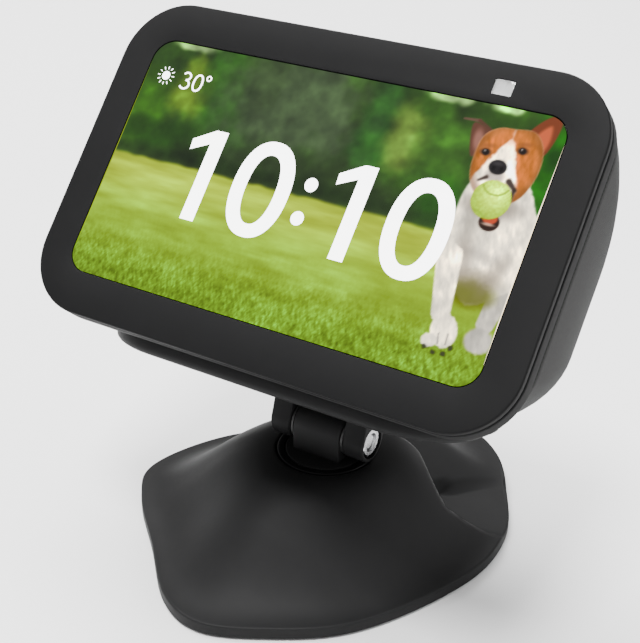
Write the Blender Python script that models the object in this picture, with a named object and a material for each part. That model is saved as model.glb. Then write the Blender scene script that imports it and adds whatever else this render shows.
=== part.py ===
"""Smart display on a tilt and swivel stand.

Metres, +Z up. The origin is on the swivel axis at the underside of the foot. The display faces -Y
and its width runs along X. Three frames carry the pieces:

- the world frame, for the foot and the swivel post;
- the tray frame, on the tilt hinge axis, with +Z square to the tray;
- the display frame, at the centre of the front face, with +Y into the body and +Z up the face.
"""

import math

import bmesh
import bpy
from mathutils import Matrix, Vector

MM = 0.001
GAP = 0.3 * MM               # clearance between pieces that touch
CORNER_STEPS = 5             # segments in each rounded corner
ROUND_STEPS = 24             # segments in a small turned piece

# Display face
FACE_WIDTH = 147.0 * MM
FACE_HEIGHT = 94.0 * MM
FACE_RADIUS = 18.0 * MM
SIDE_BORDER = 10.4 * MM      # face edge to the screen, at the sides
END_BORDER = 11.5 * MM       # face edge to the screen, above and below
SCREEN_WIDTH = FACE_WIDTH - 2.0 * SIDE_BORDER
SCREEN_HEIGHT = FACE_HEIGHT - 2.0 * END_BORDER
SCREEN_RADIUS = 6.5 * MM
BEZEL_THICKNESS = 2.0 * MM
BEZEL_EDGE = 0.5 * MM
CREASE_WIDTH = 0.8 * MM
CREASE_DEPTH = 0.8 * MM
FRAME_DEPTH = 4.7 * MM
PANEL_MARGIN = 1.2 * MM      # border of the LCD around the visible picture
PANEL_THICKNESS = 1.6 * MM
BACKLIGHT_THICKNESS = 2.4 * MM
CHASSIS_THICKNESS = 1.2 * MM

# Rear housing
HOUSING_DEPTH = 70.0 * MM    # from the front face to the back of the housing
HOUSING_POWER = 3.1          # how square the plan is
HOUSING_END = 0.985          # share of the depth where the closing cap sits
HOUSING_RINGS = 11
BASE_LEAN = math.radians(22.0)   # angle between the underside and the face's normal
FABRIC_THICKNESS = 0.8 * MM
HOUSING_WALL = 1.8 * MM
TOP_EDGE_HEIGHT = 0.6 * MM   # how far the top buttons stand proud

# Camera and its shutter
CAMERA_X = SCREEN_WIDTH / 2.0 - 20.7 * MM
CAMERA_Z = FACE_HEIGHT / 2.0 - 7.0 * MM
WINDOW_WIDTH = 5.7 * MM
WINDOW_HEIGHT = 4.4 * MM
WINDOW_THICKNESS = 0.55 * MM
SHUTTER_TRAVEL = 7.0 * MM
SHUTTER_WIDTH = 6.3 * MM
SHUTTER_THICKNESS = 0.5 * MM
STEM_WIDTH = 3.0 * MM
CAMERA_SIZE = 6.4 * MM

# Top buttons
BUTTON_LENGTH = 10.0 * MM
BUTTON_WIDTH = 5.0 * MM
BUTTON_CLEARANCE = 5.5 * MM  # behind the chassis plate
BUTTON_SETBACK = BEZEL_THICKNESS + FRAME_DEPTH + CHASSIS_THICKNESS + 2.0 * GAP + BUTTON_CLEARANCE
BUTTON_TRAVEL = 0.5 * MM
BUTTON_PLACES = {
    "mute_button": -27.0 * MM,
    "volume_down_button": -9.0 * MM,
    "volume_up_button": 6.0 * MM,
}

# Speaker
SPEAKER_RADIUS = 20.7 * MM
SPEAKER_X = 43.5 * MM - FACE_WIDTH / 2.0
SPEAKER_Z = -1.0 * MM
SPEAKER_BACK = 31.5 * MM     # rear face of the speaker's flange
SPEAKER_BOX_WALL = 2.0 * MM

# Circuit boards
BOARD_X = FACE_WIDTH / 2.0 - 42.0 * MM
BOARD_WIDTH = 53.0 * MM
BOARD_HEIGHT = 49.0 * MM
BOARD_THICKNESS = 1.2 * MM

# Power jack
JACK_X = FACE_WIDTH / 2.0 - 33.8 * MM
JACK_RADIUS = 4.6 * MM
JACK_BORE = 3.1 * MM
JACK_LENGTH = 16.0 * MM
JACK_MOUTH = HOUSING_DEPTH - 6.0 * MM    # behind the front face

# Hinge between tray and post
HINGE_HEIGHT = 36.0 * MM
REST_LEAN = math.radians(41.8)   # lean of the face from vertical
SEAT_RISE = 24.3 * MM        # hinge axis to the display's underside, square to the tray
SEAT_AHEAD = 54.9 * MM       # hinge axis to the lower edge of the face, along the tray
FOOT_PAD_THICKNESS = 1.0 * MM
ADHESIVE_THICKNESS = 1.0 * MM
TRAY_THICKNESS = 4.6 * MM
TRAY_WIDTH = 113.0 * MM
TRAY_FRONT = 46.0 * MM       # ahead of the hinge axis
TRAY_BACK = 14.0 * MM        # behind the hinge axis
EAR_RADIUS = 6.0 * MM
EAR_WIDTH = 6.6 * MM
KNUCKLE_WIDTH = 15.6 * MM
WASHER_THICKNESS = 0.6 * MM
BOLT_RADIUS = 2.5 * MM
BOLT_HEAD_RADIUS = 4.3 * MM
BOLT_HEAD_THICKNESS = 2.6 * MM
BOLT_SET_BACK = 0.6 * MM       # tip of the bolt behind the nut's face
NUT_ACROSS_FLATS = 8.0 * MM
NUT_THICKNESS = 2.7 * MM
NUT_RECESS = 0.4 * MM        # nut's outer face below the ear's end

# Foot
FOOT_HEIGHT = 29.3 * MM
FOOT_HALF_WIDTH = 50.0 * MM
FOOT_HALF_LENGTH = 57.5 * MM
FOOT_TURN = math.radians(-43.7)  # the foot's heading against the display's
RIM_HEIGHT = 4.3 * MM
RIM_EDGE = 0.6 * MM
FOOT_WALL = 2.4 * MM
FOOT_RINGS = 8
DISC_RADIUS = 12.1 * MM
COLLAR_WALL = 2.1 * MM
COLLAR_RADIUS = DISC_RADIUS + GAP + COLLAR_WALL
COLLAR_LIP = 1.5 * MM
COLLAR_DEPTH = 5.3 * MM
DISC_TOP = 29.5 * MM
DISC_THICKNESS = 3.9 * MM
SPINDLE_RADIUS = 7.0 * MM
HUB_FLOOR = 3.0 * MM         # thickness of the floor the post turns on
SWIVEL_WASHER = 1.0 * MM
SPRING_WASHER = 1.2 * MM
RETAINER_RADIUS = 11.0 * MM
RETAINER_THICKNESS = 1.5 * MM
SCREW_RADIUS = 2.0 * MM
PAD_THICKNESS = 1.0 * MM
PAD_PROUD = 0.8 * MM         # pad's underside below the shell's rim
PLATE_THICKNESS = 1.1 * MM
WEIGHT_THICKNESS = 3.0 * MM
WEIGHT_INSET = 17.0 * MM
BOSS_RADIUS = 3.2 * MM
FOOT_SCREW_RADIUS = 1.3 * MM
FOOT_SCREW_HEAD = 2.4 * MM
BOSS_PLACES = ((-0.60, -0.42), (0.60, -0.42), (-0.60, 0.40), (0.64, 0.22))

# Control points of the foot's outline, as shares of its half width and half length; +Y is its rear
FOOT_POINTS = (
    (-0.48, -0.92), (0.00, -0.92), (0.48, -0.92), (0.77, -0.79), (0.92, -0.47), (0.98, -0.12),
    (0.88, 0.26), (0.67, 0.64), (0.38, 0.88), (0.04, 1.00), (-0.40, 1.08), (-0.76, 0.99),
    (-0.97, 0.66), (-1.03, 0.09), (-1.01, -0.42), (-0.80, -0.82),
)
FOOT_SPAN_STEPS = 3

# Cable channel in the foot: floor and top outlines in the foot's own frame
CHANNEL_FLOOR = 3.1 * MM
CHANNEL_TOP = 25.0 * MM
CHANNEL_INNER = 33.0 * MM
CHANNEL_OUTER = FOOT_HALF_LENGTH * 1.25
CHANNEL_LEFT = -4.0 * MM
CHANNEL_RIGHT_INNER = 9.5 * MM
CHANNEL_RIGHT_OUTER = 40.0 * MM
CHANNEL_STEP = 2.0 * MM       # low step along the far side
CHANNEL_STEP_LEAN = 0.6 * MM
CHANNEL_SPREAD = 13.0 * MM   # how much wider the near side is at the top
CHANNEL_FAR_SPREAD = 36.0 * MM
CHANNEL_WALL = 2.0 * MM


# ---------------------------------------------------------------- helpers

def clear_scene():
    for item in list(bpy.data.objects):
        bpy.data.objects.remove(item, do_unlink=True)


def make_material(name, colour, roughness, metallic=0.0):
    material = bpy.data.materials.new(name)
    material.use_nodes = True
    shader = material.node_tree.nodes["Principled BSDF"]
    shader.inputs["Base Color"].default_value = (*colour, 1.0)
    shader.inputs["Roughness"].default_value = roughness
    shader.inputs["Metallic"].default_value = metallic
    return material


def make_frame(name, parent, location, rotation_x=0.0, rotation_z=0.0):
    frame = bpy.data.objects.new(name, None)
    frame.location = location
    frame.rotation_euler = (rotation_x, 0.0, rotation_z)
    frame.parent = parent
    bpy.context.collection.objects.link(frame)
    return frame


def finish_object(name, bm, frame, material, sharp=32.0):
    """Turn a bmesh into a named object in a frame, smooth except at edges sharper than an angle."""
    bmesh.ops.recalc_face_normals(bm, faces=bm.faces)
    mesh = bpy.data.meshes.new(name)
    bm.to_mesh(mesh)
    bm.free()
    mesh.shade_smooth()
    mesh.set_sharp_from_angle(angle=math.radians(sharp))
    piece = bpy.data.objects.new(name, mesh)
    piece.parent = frame
    bpy.context.collection.objects.link(piece)
    if material is None:
        piece.hide_render = True
        piece.display_type = 'WIRE'
    else:
        mesh.materials.append(material)
    return piece


def combine(piece, other, operation):
    """Boolean of a piece with a helper; a helper is a piece without a material."""
    modifier = piece.modifiers.new(operation.lower(), 'BOOLEAN')
    modifier.operation = operation
    modifier.object = other


def loft(name, loops, frame, material=None, ring=False, sharp=32.0):
    """Skin a chain of loops of equal length; a ring joins its last loop to its first."""
    bm = bmesh.new()
    rows = [[bm.verts.new(point) for point in loop] for loop in loops]
    count = len(rows[0])
    pairs = list(zip(rows, rows[1:]))
    if ring:
        pairs.append((rows[-1], rows[0]))
    else:
        bm.faces.new(rows[0])
        bm.faces.new(list(reversed(rows[-1])))
    for near, far in pairs:
        for i in range(count):
            j = (i + 1) % count
            bm.faces.new((near[i], near[j], far[j], far[i]))
    return finish_object(name, bm, frame, material, sharp)


def corner_outline(corners, steps=CORNER_STEPS):
    """Outline of a convex polygon with rounded corners, from (x, y, radius) corners in order."""
    points = []
    total = len(corners)
    for i, (x, y, radius) in enumerate(corners):
        here = Vector((x, y))
        before = (Vector(corners[i - 1][:2]) - here).normalized()
        after = (Vector(corners[(i + 1) % total][:2]) - here).normalized()
        half = before.angle(after) / 2.0
        centre = here + (before + after).normalized() * (radius / math.sin(half))
        start = here + before * (radius / math.tan(half)) - centre
        turn = -start.angle_signed(here + after * (radius / math.tan(half)) - centre)
        for k in range(steps + 1):
            points.append(centre + Matrix.Rotation(turn * k / steps, 2) @ start)
    return points


def rounded_rectangle(half_width, half_height, radius, steps=CORNER_STEPS):
    return corner_outline((
        (half_width, -half_height, radius), (half_width, half_height, radius),
        (-half_width, half_height, radius), (-half_width, -half_height, radius)), steps)


def face_loop(half_width, half_height, radius, depth, x=0.0, z=0.0):
    """Rounded rectangle across the display frame at a depth behind the face."""
    outline = rounded_rectangle(half_width, half_height, radius)
    return [(x + p.x, depth, z + p.y) for p in outline]


def face_plate(name, half_width, half_height, radius, front, back, frame, material=None, x=0.0, z=0.0):
    loops = [face_loop(half_width, half_height, radius, depth, x, z) for depth in (front, back)]
    return loft(name, loops, frame, material)


def prism(name, outline, low, high, frame, material=None):
    """Outline in X and Y, extruded along Z with Blender's own extrusion."""
    bm = bmesh.new()
    floor = bm.faces.new([bm.verts.new((p[0], p[1], low)) for p in outline])
    grown = bmesh.ops.extrude_face_region(bm, geom=[floor])
    top = [item for item in grown["geom"] if isinstance(item, bmesh.types.BMVert)]
    bmesh.ops.translate(bm, verts=top, vec=(0.0, 0.0, high - low))
    return finish_object(name, bm, frame, material)


def block(name, low, high, frame, material=None):
    bm = bmesh.new()
    bmesh.ops.create_cube(bm, size=1.0)
    size = Vector(high) - Vector(low)
    bmesh.ops.scale(bm, verts=bm.verts, vec=size)
    bmesh.ops.translate(bm, verts=bm.verts, vec=(Vector(low) + Vector(high)) / 2.0)
    return finish_object(name, bm, frame, material)


AXIS_TURN = {
    "X": Matrix.Rotation(math.radians(90.0), 4, 'Y'),
    "Y": Matrix.Rotation(math.radians(-90.0), 4, 'X'),
    "Z": Matrix.Identity(4),
}


def turned(name, profile, frame, material=None, axis="Z", centre=(0.0, 0.0, 0.0), steps=ROUND_STEPS):
    """Solid turned about an axis from a closed profile of (radius, height) points."""
    bm = bmesh.new()
    points = [bm.verts.new((radius, 0.0, height)) for radius, height in profile]
    edges = [bm.edges.new((points[i], points[(i + 1) % len(points)])) for i in range(len(points))]
    bmesh.ops.spin(bm, geom=points + edges, cent=(0.0, 0.0, 0.0), axis=(0.0, 0.0, 1.0),
                   angle=2.0 * math.pi, steps=steps, use_merge=True)
    bmesh.ops.remove_doubles(bm, verts=bm.verts, dist=1e-6)
    flat = [edge for edge in bm.edges if not edge.link_faces]
    bmesh.ops.delete(bm, geom=flat, context='EDGES')
    bmesh.ops.transform(bm, matrix=Matrix.Translation(centre) @ AXIS_TURN[axis], verts=bm.verts)
    return finish_object(name, bm, frame, material)


def rod(name, radius, low, high, frame, material=None, axis="Z", centre=(0.0, 0.0, 0.0), steps=ROUND_STEPS):
    profile = ((0.0, low), (radius, low), (radius, high), (0.0, high))
    return turned(name, profile, frame, material, axis, centre, steps)


def washer(name, inner, outer, low, high, frame, material=None, axis="Z", centre=(0.0, 0.0, 0.0)):
    profile = ((inner, low), (outer, low), (outer, high), (inner, high))
    return turned(name, profile, frame, material, axis, centre)


def screw(name, radius, tip, seat, head_radius, head, frame, material, axis="Z", centre=(0.0, 0.0, 0.0)):
    """Screw whose shank runs from tip to seat and whose head carries on by its own thickness."""
    profile = ((0.0, tip), (radius, tip), (radius, seat), (head_radius, seat),
               (head_radius, seat + head * 0.6), (head_radius * 0.7, seat + head), (0.0, seat + head))
    return turned(name, profile, frame, material, axis, centre, 16)


# ---------------------------------------------------------------- outlines of the display's housing

def housing_thickness():
    """Cloth, gap and moulded wall together."""
    return FABRIC_THICKNESS + GAP + HOUSING_WALL


def reach_back(inset):
    """Depth at which the top and the underside meet, for a surface set in from the outside."""
    return HOUSING_DEPTH - 1.4 * inset


def housing_half_width(depth, inset=0.0):
    share = (depth / reach_back(inset)) ** HOUSING_POWER
    return (FACE_WIDTH / 2.0 - inset) * (1.0 - share) ** (1.0 / HOUSING_POWER)


def underside(depth, inset=0.0):
    return -FACE_HEIGHT / 2.0 + depth * math.tan(BASE_LEAN) + inset / math.cos(BASE_LEAN)


def top_side(depth, inset=0.0):
    """The top falls away as a parabola that meets the underside at full depth."""
    start = FACE_HEIGHT / 2.0 - inset
    end = reach_back(inset)
    return start - (start - underside(end, inset)) * (depth / end) ** 2


def middle_height(depth, inset=0.0):
    return (top_side(depth, inset) + underside(depth, inset)) / 2.0


def housing_chain(front, inset):
    """Loops of a housing surface from its front rim to the back."""
    start = math.asin(front / reach_back(inset))
    finish = math.asin(HOUSING_END)
    loops = []
    for k in range(HOUSING_RINGS):
        depth = reach_back(inset) * math.sin(start + (finish - start) * k / (HOUSING_RINGS - 1))
        half_width = housing_half_width(depth, inset)
        half_height = (top_side(depth, inset) - underside(depth, inset)) / 2.0
        radius = min(FACE_RADIUS - inset, half_height * 0.96, half_width * 0.96)
        loops.append(face_loop(half_width, half_height, radius, depth, 0.0, middle_height(depth, inset)))
    return loops


def skin(name, front, outer_inset, inner_inset, frame, material):
    """Open bowl between two surfaces of the housing, with its rim at the front."""
    outer = housing_chain(front, outer_inset)
    inner = housing_chain(front, inner_inset)
    return loft(name, list(reversed(outer)) + inner, frame, material, sharp=50.0)


# ---------------------------------------------------------------- display

def build_face(frame, looks):
    half_width = FACE_WIDTH / 2.0
    half_height = FACE_HEIGHT / 2.0
    screen = (SCREEN_WIDTH / 2.0, SCREEN_HEIGHT / 2.0, SCREEN_RADIUS)
    bezel = loft("front_bezel", (
        face_loop(half_width, half_height, FACE_RADIUS, BEZEL_THICKNESS),
        face_loop(half_width, half_height, FACE_RADIUS, BEZEL_EDGE),
        face_loop(half_width - BEZEL_EDGE, half_height - BEZEL_EDGE, FACE_RADIUS - BEZEL_EDGE, 0.0),
        face_loop(*screen, 0.0),
        face_loop(*screen, BEZEL_THICKNESS),
    ), frame, looks["bezel"], ring=True)
    window = face_plate("window_cutter", WINDOW_WIDTH / 2.0, WINDOW_HEIGHT / 2.0, 0.4 * MM,
                        -MM, BEZEL_THICKNESS + MM, frame, None, CAMERA_X, CAMERA_Z)
    combine(bezel, window, 'DIFFERENCE')
    pocket = block("pocket_cutter",
                   (CAMERA_X - SHUTTER_WIDTH / 2.0 - GAP * 2.0, 0.65 * MM, CAMERA_Z - 3.2 * MM),
                   (CAMERA_X + SHUTTER_WIDTH / 2.0 + SHUTTER_TRAVEL + GAP * 2.0,
                    BEZEL_THICKNESS + MM, CAMERA_Z + 5.6 * MM), frame)
    combine(bezel, pocket, 'DIFFERENCE')
    face_plate("touch_screen", screen[0] - GAP, screen[1] - GAP, screen[2] - GAP,
               0.15 * MM, BEZEL_THICKNESS, frame, looks["glass"])
    face_plate("camera_window", WINDOW_WIDTH / 2.0 - GAP / 2.0, WINDOW_HEIGHT / 2.0 - GAP / 2.0, 0.3 * MM,
               0.05 * MM, WINDOW_THICKNESS, frame, looks["clear"], CAMERA_X, CAMERA_Z)


def build_panel_stack(frame, looks):
    half_width = SCREEN_WIDTH / 2.0 + PANEL_MARGIN
    half_height = SCREEN_HEIGHT / 2.0 + PANEL_MARGIN - 0.3 * MM
    front = BEZEL_THICKNESS + GAP
    panel_back = front + PANEL_THICKNESS
    face_plate("lcd_panel", half_width, half_height, 1.5 * MM, front, panel_back, frame, looks["panel"])
    face_plate("backlight", half_width, half_height, 1.5 * MM, panel_back + GAP,
               panel_back + GAP + BACKLIGHT_THICKNESS, frame, looks["backlight"])
    inner = (half_width + GAP, half_height + GAP, 1.8 * MM)
    back = front + FRAME_DEPTH
    crease = front + CREASE_DEPTH
    outer = (FACE_WIDTH / 2.0, FACE_HEIGHT / 2.0, FACE_RADIUS)
    sunk = [value - CREASE_WIDTH for value in outer]
    front_frame = loft("front_frame", (
        face_loop(*sunk, front), face_loop(*sunk, crease), face_loop(*outer, crease + 0.3 * MM),
        face_loop(*outer, back), face_loop(*inner, back), face_loop(*inner, front),
    ), frame, looks["rim"], ring=True)
    reach = CAMERA_SIZE / 2.0 + GAP * 2.0
    combine(front_frame, block("camera_cutter", (CAMERA_X - reach, 0.0, CAMERA_Z - reach),
                               (CAMERA_X + reach, back + MM, CAMERA_Z + reach), frame), 'DIFFERENCE')
    slot_left = CAMERA_X - STEM_WIDTH / 2.0 - GAP
    slot_right = CAMERA_X + STEM_WIDTH / 2.0 + SHUTTER_TRAVEL + GAP
    bridge = CAMERA_Z + 3.5 * MM
    combine(front_frame, block("bridge_cutter", (slot_left, 0.0, bridge),
                               (slot_right, front + 3.7 * MM, bridge + 1.9 * MM), frame), 'DIFFERENCE')
    combine(front_frame, block("stem_cutter", (slot_left, front + 1.5 * MM, bridge),
                               (slot_right, front + 3.7 * MM, FACE_HEIGHT / 2.0 + MM), frame), 'DIFFERENCE')
    chassis_back = back + GAP + CHASSIS_THICKNESS
    low = underside(chassis_back, housing_thickness()) + 0.5 * MM
    high = top_side(chassis_back, housing_thickness()) - 0.5 * MM
    chassis = face_plate("chassis_plate", FACE_WIDTH / 2.0 - 3.7 * MM, (high - low) / 2.0,
                         FACE_RADIUS - 4.0 * MM, back + GAP, chassis_back, frame, looks["steel"],
                         0.0, (high + low) / 2.0)
    seat = chassis_back + GAP
    places = [(side * (FACE_WIDTH / 2.0 - 6.1 * MM), level * (FACE_HEIGHT / 2.0 - 23.5 * MM))
              for side in (-1, 1) for level in (-1, 1)]
    for number, (x, z) in enumerate(places, 1):
        hole = rod(f"frame_hole_{number}", 1.3 * MM, front + 1.2 * MM, seat + MM, frame, None,
                   "Y", (x, 0.0, z), 12)
        combine(front_frame, hole, 'DIFFERENCE')
        combine(chassis, hole, 'DIFFERENCE')
        screw(f"frame_screw_{number}", 1.0 * MM, front + 1.6 * MM, seat, 1.7 * MM, 1.2 * MM,
              frame, looks["steel"], "Y", (x, 0.0, z))
    return back, seat


def build_camera(frame, looks, frame_back):
    half = CAMERA_SIZE / 2.0
    camera = face_plate("camera_module", half, half - 0.2 * MM, 0.6 * MM, BEZEL_THICKNESS + 1.1 * MM,
                        frame_back - 0.2 * MM, frame, looks["module"], CAMERA_X, CAMERA_Z)
    lens = rod("lens_barrel", 2.3 * MM, BEZEL_THICKNESS - 0.1 * MM, BEZEL_THICKNESS + 2.0 * MM, frame, None,
               "Y", (CAMERA_X, 0.0, CAMERA_Z))
    combine(camera, lens, 'UNION')
    front = WINDOW_THICKNESS + 0.4 * MM
    back = front + SHUTTER_THICKNESS
    bridge = CAMERA_Z + 3.9 * MM
    stem_front = BEZEL_THICKNESS + GAP + 1.9 * MM
    stem_back = stem_front + 1.3 * MM
    shutter = block("camera_shutter", (CAMERA_X - SHUTTER_WIDTH / 2.0, front, CAMERA_Z - 2.8 * MM),
                    (CAMERA_X + SHUTTER_WIDTH / 2.0, back, CAMERA_Z + 2.8 * MM), frame, looks["shutter"])
    left = CAMERA_X - STEM_WIDTH / 2.0
    right = CAMERA_X + STEM_WIDTH / 2.0
    knob = FACE_HEIGHT / 2.0 + GAP
    parts = (
        block("shutter_arm", (left, front, CAMERA_Z + 2.0 * MM), (right, back, bridge + MM), frame),
        block("shutter_bridge", (left, front, bridge), (right, stem_back, bridge + MM), frame),
        block("shutter_stem", (left, stem_front, bridge), (right, stem_back, knob + 0.4 * MM), frame),
        block("shutter_knob", (left - MM, stem_front - 0.7 * MM, knob),
              (right + MM, stem_back + 0.7 * MM, knob + 1.1 * MM), frame),
    )
    for part in parts:
        combine(shutter, part, 'UNION')


def build_housing(frame, looks, front):
    """Moulded housing under a cloth cover, with holes for the buttons and the power jack."""
    fabric = skin("fabric_cover", front, 0.0, FABRIC_THICKNESS, frame, looks["fabric"])
    housing = skin("rear_housing", front, FABRIC_THICKNESS + GAP, housing_thickness(), frame,
                   looks["plastic"])
    jack_hole = rod("jack_hole", JACK_RADIUS + 2.0 * GAP, JACK_MOUTH - JACK_LENGTH, HOUSING_DEPTH + MM,
                    frame, None, "Y", (JACK_X, 0.0, middle_height(JACK_MOUTH)))
    combine(fabric, jack_hole, 'DIFFERENCE')
    combine(housing, jack_hole, 'DIFFERENCE')
    return fabric, housing


def build_buttons(frame, looks, fabric, housing):
    level = top_side(BUTTON_SETBACK)
    slope = math.atan2(top_side(BUTTON_SETBACK + MM) - level, MM)
    inner = housing_thickness()
    switch_top = -inner - 1.5 * MM - BUTTON_TRAVEL - GAP
    board_top = switch_top - 1.6 * MM
    board = None
    for name, x in BUTTON_PLACES.items():
        seat = make_frame(f"{name}_seat", frame, (x, BUTTON_SETBACK, level), slope)
        half_length = BUTTON_LENGTH / 2.0
        half_width = BUTTON_WIDTH / 2.0
        hole = prism(f"{name}_hole", rounded_rectangle(half_length + GAP, half_width + GAP, half_width),
                     -6.0 * MM, 4.0 * MM, seat)
        combine(fabric, hole, 'DIFFERENCE')
        combine(housing, hole, 'DIFFERENCE')
        button = prism(name, rounded_rectangle(half_length, half_width, half_width - GAP),
                       -inner - 1.2 * MM, TOP_EDGE_HEIGHT, seat, looks["button"])
        flange = prism(f"{name}_flange", rounded_rectangle(half_length + MM, half_width + MM, half_width),
                       -inner - 1.5 * MM, -inner - 2.0 * GAP, seat)
        combine(button, flange, 'UNION')
        switch = block(f"{name}_switch", (-2.0 * MM, -1.3 * MM, board_top - 0.5 * MM),
                       (2.0 * MM, 1.7 * MM, switch_top), seat)
        if board is None:
            first = min(BUTTON_PLACES.values())
            last = max(BUTTON_PLACES.values())
            board = block("button_board", (-7.0 * MM, -1.6 * MM, board_top - MM),
                          (last - first + 7.0 * MM, 5.0 * MM, board_top), seat, looks["board"])
        combine(board, switch, 'UNION')


def build_electronics(frame, looks, seat):
    board_front = seat + 5.0 * MM
    board_back = board_front + BOARD_THICKNESS
    face_plate("main_board", BOARD_WIDTH / 2.0, BOARD_HEIGHT / 2.0, 2.0 * MM, board_front, board_back,
               frame, looks["board"], BOARD_X, -2.0 * MM)
    can_front = board_back + GAP
    face_plate("shield_can", 14.0 * MM, 12.0 * MM, 1.0 * MM, can_front, can_front + 2.6 * MM,
               frame, looks["steel"], BOARD_X, 2.0 * MM)
    spreader_front = can_front + 2.6 * MM + GAP
    face_plate("heat_spreader", 22.0 * MM, 17.0 * MM, 2.0 * MM, spreader_front, spreader_front + 1.5 * MM,
               frame, looks["aluminium"], BOARD_X, 0.0)
    face_plate("microphone_board", 16.0 * MM, 3.5 * MM, 1.0 * MM, seat + 1.6 * MM, seat + 2.6 * MM,
               frame, looks["board"], 0.0, underside(seat) + 9.5 * MM)
    face_plate("antenna_board", 4.0 * MM, 14.0 * MM, 1.0 * MM, seat + 1.0 * MM, seat + 1.8 * MM,
               frame, looks["board"], FACE_WIDTH / 2.0 - 8.5 * MM, 0.0)
    centre = (SPEAKER_X, 0.0, SPEAKER_Z)
    box_front = seat + 1.6 * MM
    box_back = SPEAKER_BACK - 1.8 * MM - GAP
    half = SPEAKER_RADIUS + 3.0 * MM
    box = face_plate("speaker_box", half + 2.0 * MM, half, 4.0 * MM, box_front, box_back, frame,
                     looks["plastic"], SPEAKER_X, SPEAKER_Z)
    chamber = face_plate("speaker_chamber", half + 2.0 * MM - SPEAKER_BOX_WALL, half - SPEAKER_BOX_WALL,
                         2.0 * MM, box_front + SPEAKER_BOX_WALL, box_back - SPEAKER_BOX_WALL, frame, None,
                         SPEAKER_X, SPEAKER_Z)
    combine(box, chamber, 'DIFFERENCE')
    combine(box, rod("speaker_mouth", SPEAKER_RADIUS - 2.2 * MM, box_back - 2.0 * SPEAKER_BOX_WALL,
                     box_back + MM, frame, None, "Y", centre), 'DIFFERENCE')
    basket = SPEAKER_RADIUS - 3.0 * MM
    flange_front = SPEAKER_BACK - 1.8 * MM
    magnet = box_front + SPEAKER_BOX_WALL + 1.5 * MM
    turned("speaker_driver", (
        (0.0, magnet), (9.0 * MM, magnet), (9.0 * MM, magnet + 5.0 * MM), (basket, flange_front - 3.0 * MM),
        (basket, flange_front), (SPEAKER_RADIUS, flange_front), (SPEAKER_RADIUS, SPEAKER_BACK),
        (SPEAKER_RADIUS - 3.0 * MM, SPEAKER_BACK), (SPEAKER_RADIUS - 5.0 * MM, SPEAKER_BACK - 0.8 * MM),
        (5.0 * MM, SPEAKER_BACK - 6.0 * MM), (0.0, SPEAKER_BACK - 4.5 * MM),
    ), frame, looks["cone"], "Y", centre, 28)
    back = JACK_MOUTH
    turned("power_jack", (
        (0.0, back - JACK_LENGTH), (JACK_RADIUS, back - JACK_LENGTH), (JACK_RADIUS, back),
        (JACK_BORE, back), (JACK_BORE, back - 10.0 * MM), (0.0, back - 10.0 * MM),
    ), frame, looks["jack"], "Y", (JACK_X, 0.0, middle_height(JACK_MOUTH)))


# ---------------------------------------------------------------- tray and hinge

def tray_outline(inset):
    half = TRAY_WIDTH / 2.0 - inset
    front = -TRAY_FRONT + inset
    back = TRAY_BACK - inset
    return corner_outline((
        (half, front, 22.0 * MM - inset), (half, front + 38.0 * MM, 16.0 * MM),
        (half - 20.0 * MM, back, 14.0 * MM), (-half + 20.0 * MM, back, 14.0 * MM),
        (-half, front + 38.0 * MM, 16.0 * MM), (-half, front, 22.0 * MM - inset)))


def arm_outline(radius, rise):
    """Round end about the origin with straight sides up to a height, in Y and Z."""
    steps = 12
    arc = [(radius * math.cos(math.pi * (1.0 + k / steps)), radius * math.sin(math.pi * (1.0 + k / steps)))
           for k in range(steps + 1)]
    return arc + [(radius, rise), (-radius, rise)]


def arm(name, radius, rise, low, high, frame, material=None):
    """Hinge arm along X between two planes, hanging from a height above the hinge axis."""
    loops = [[(x, y, z) for y, z in arm_outline(radius, rise)] for x in (low, high)]
    return loft(name, loops, frame, material)


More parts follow.
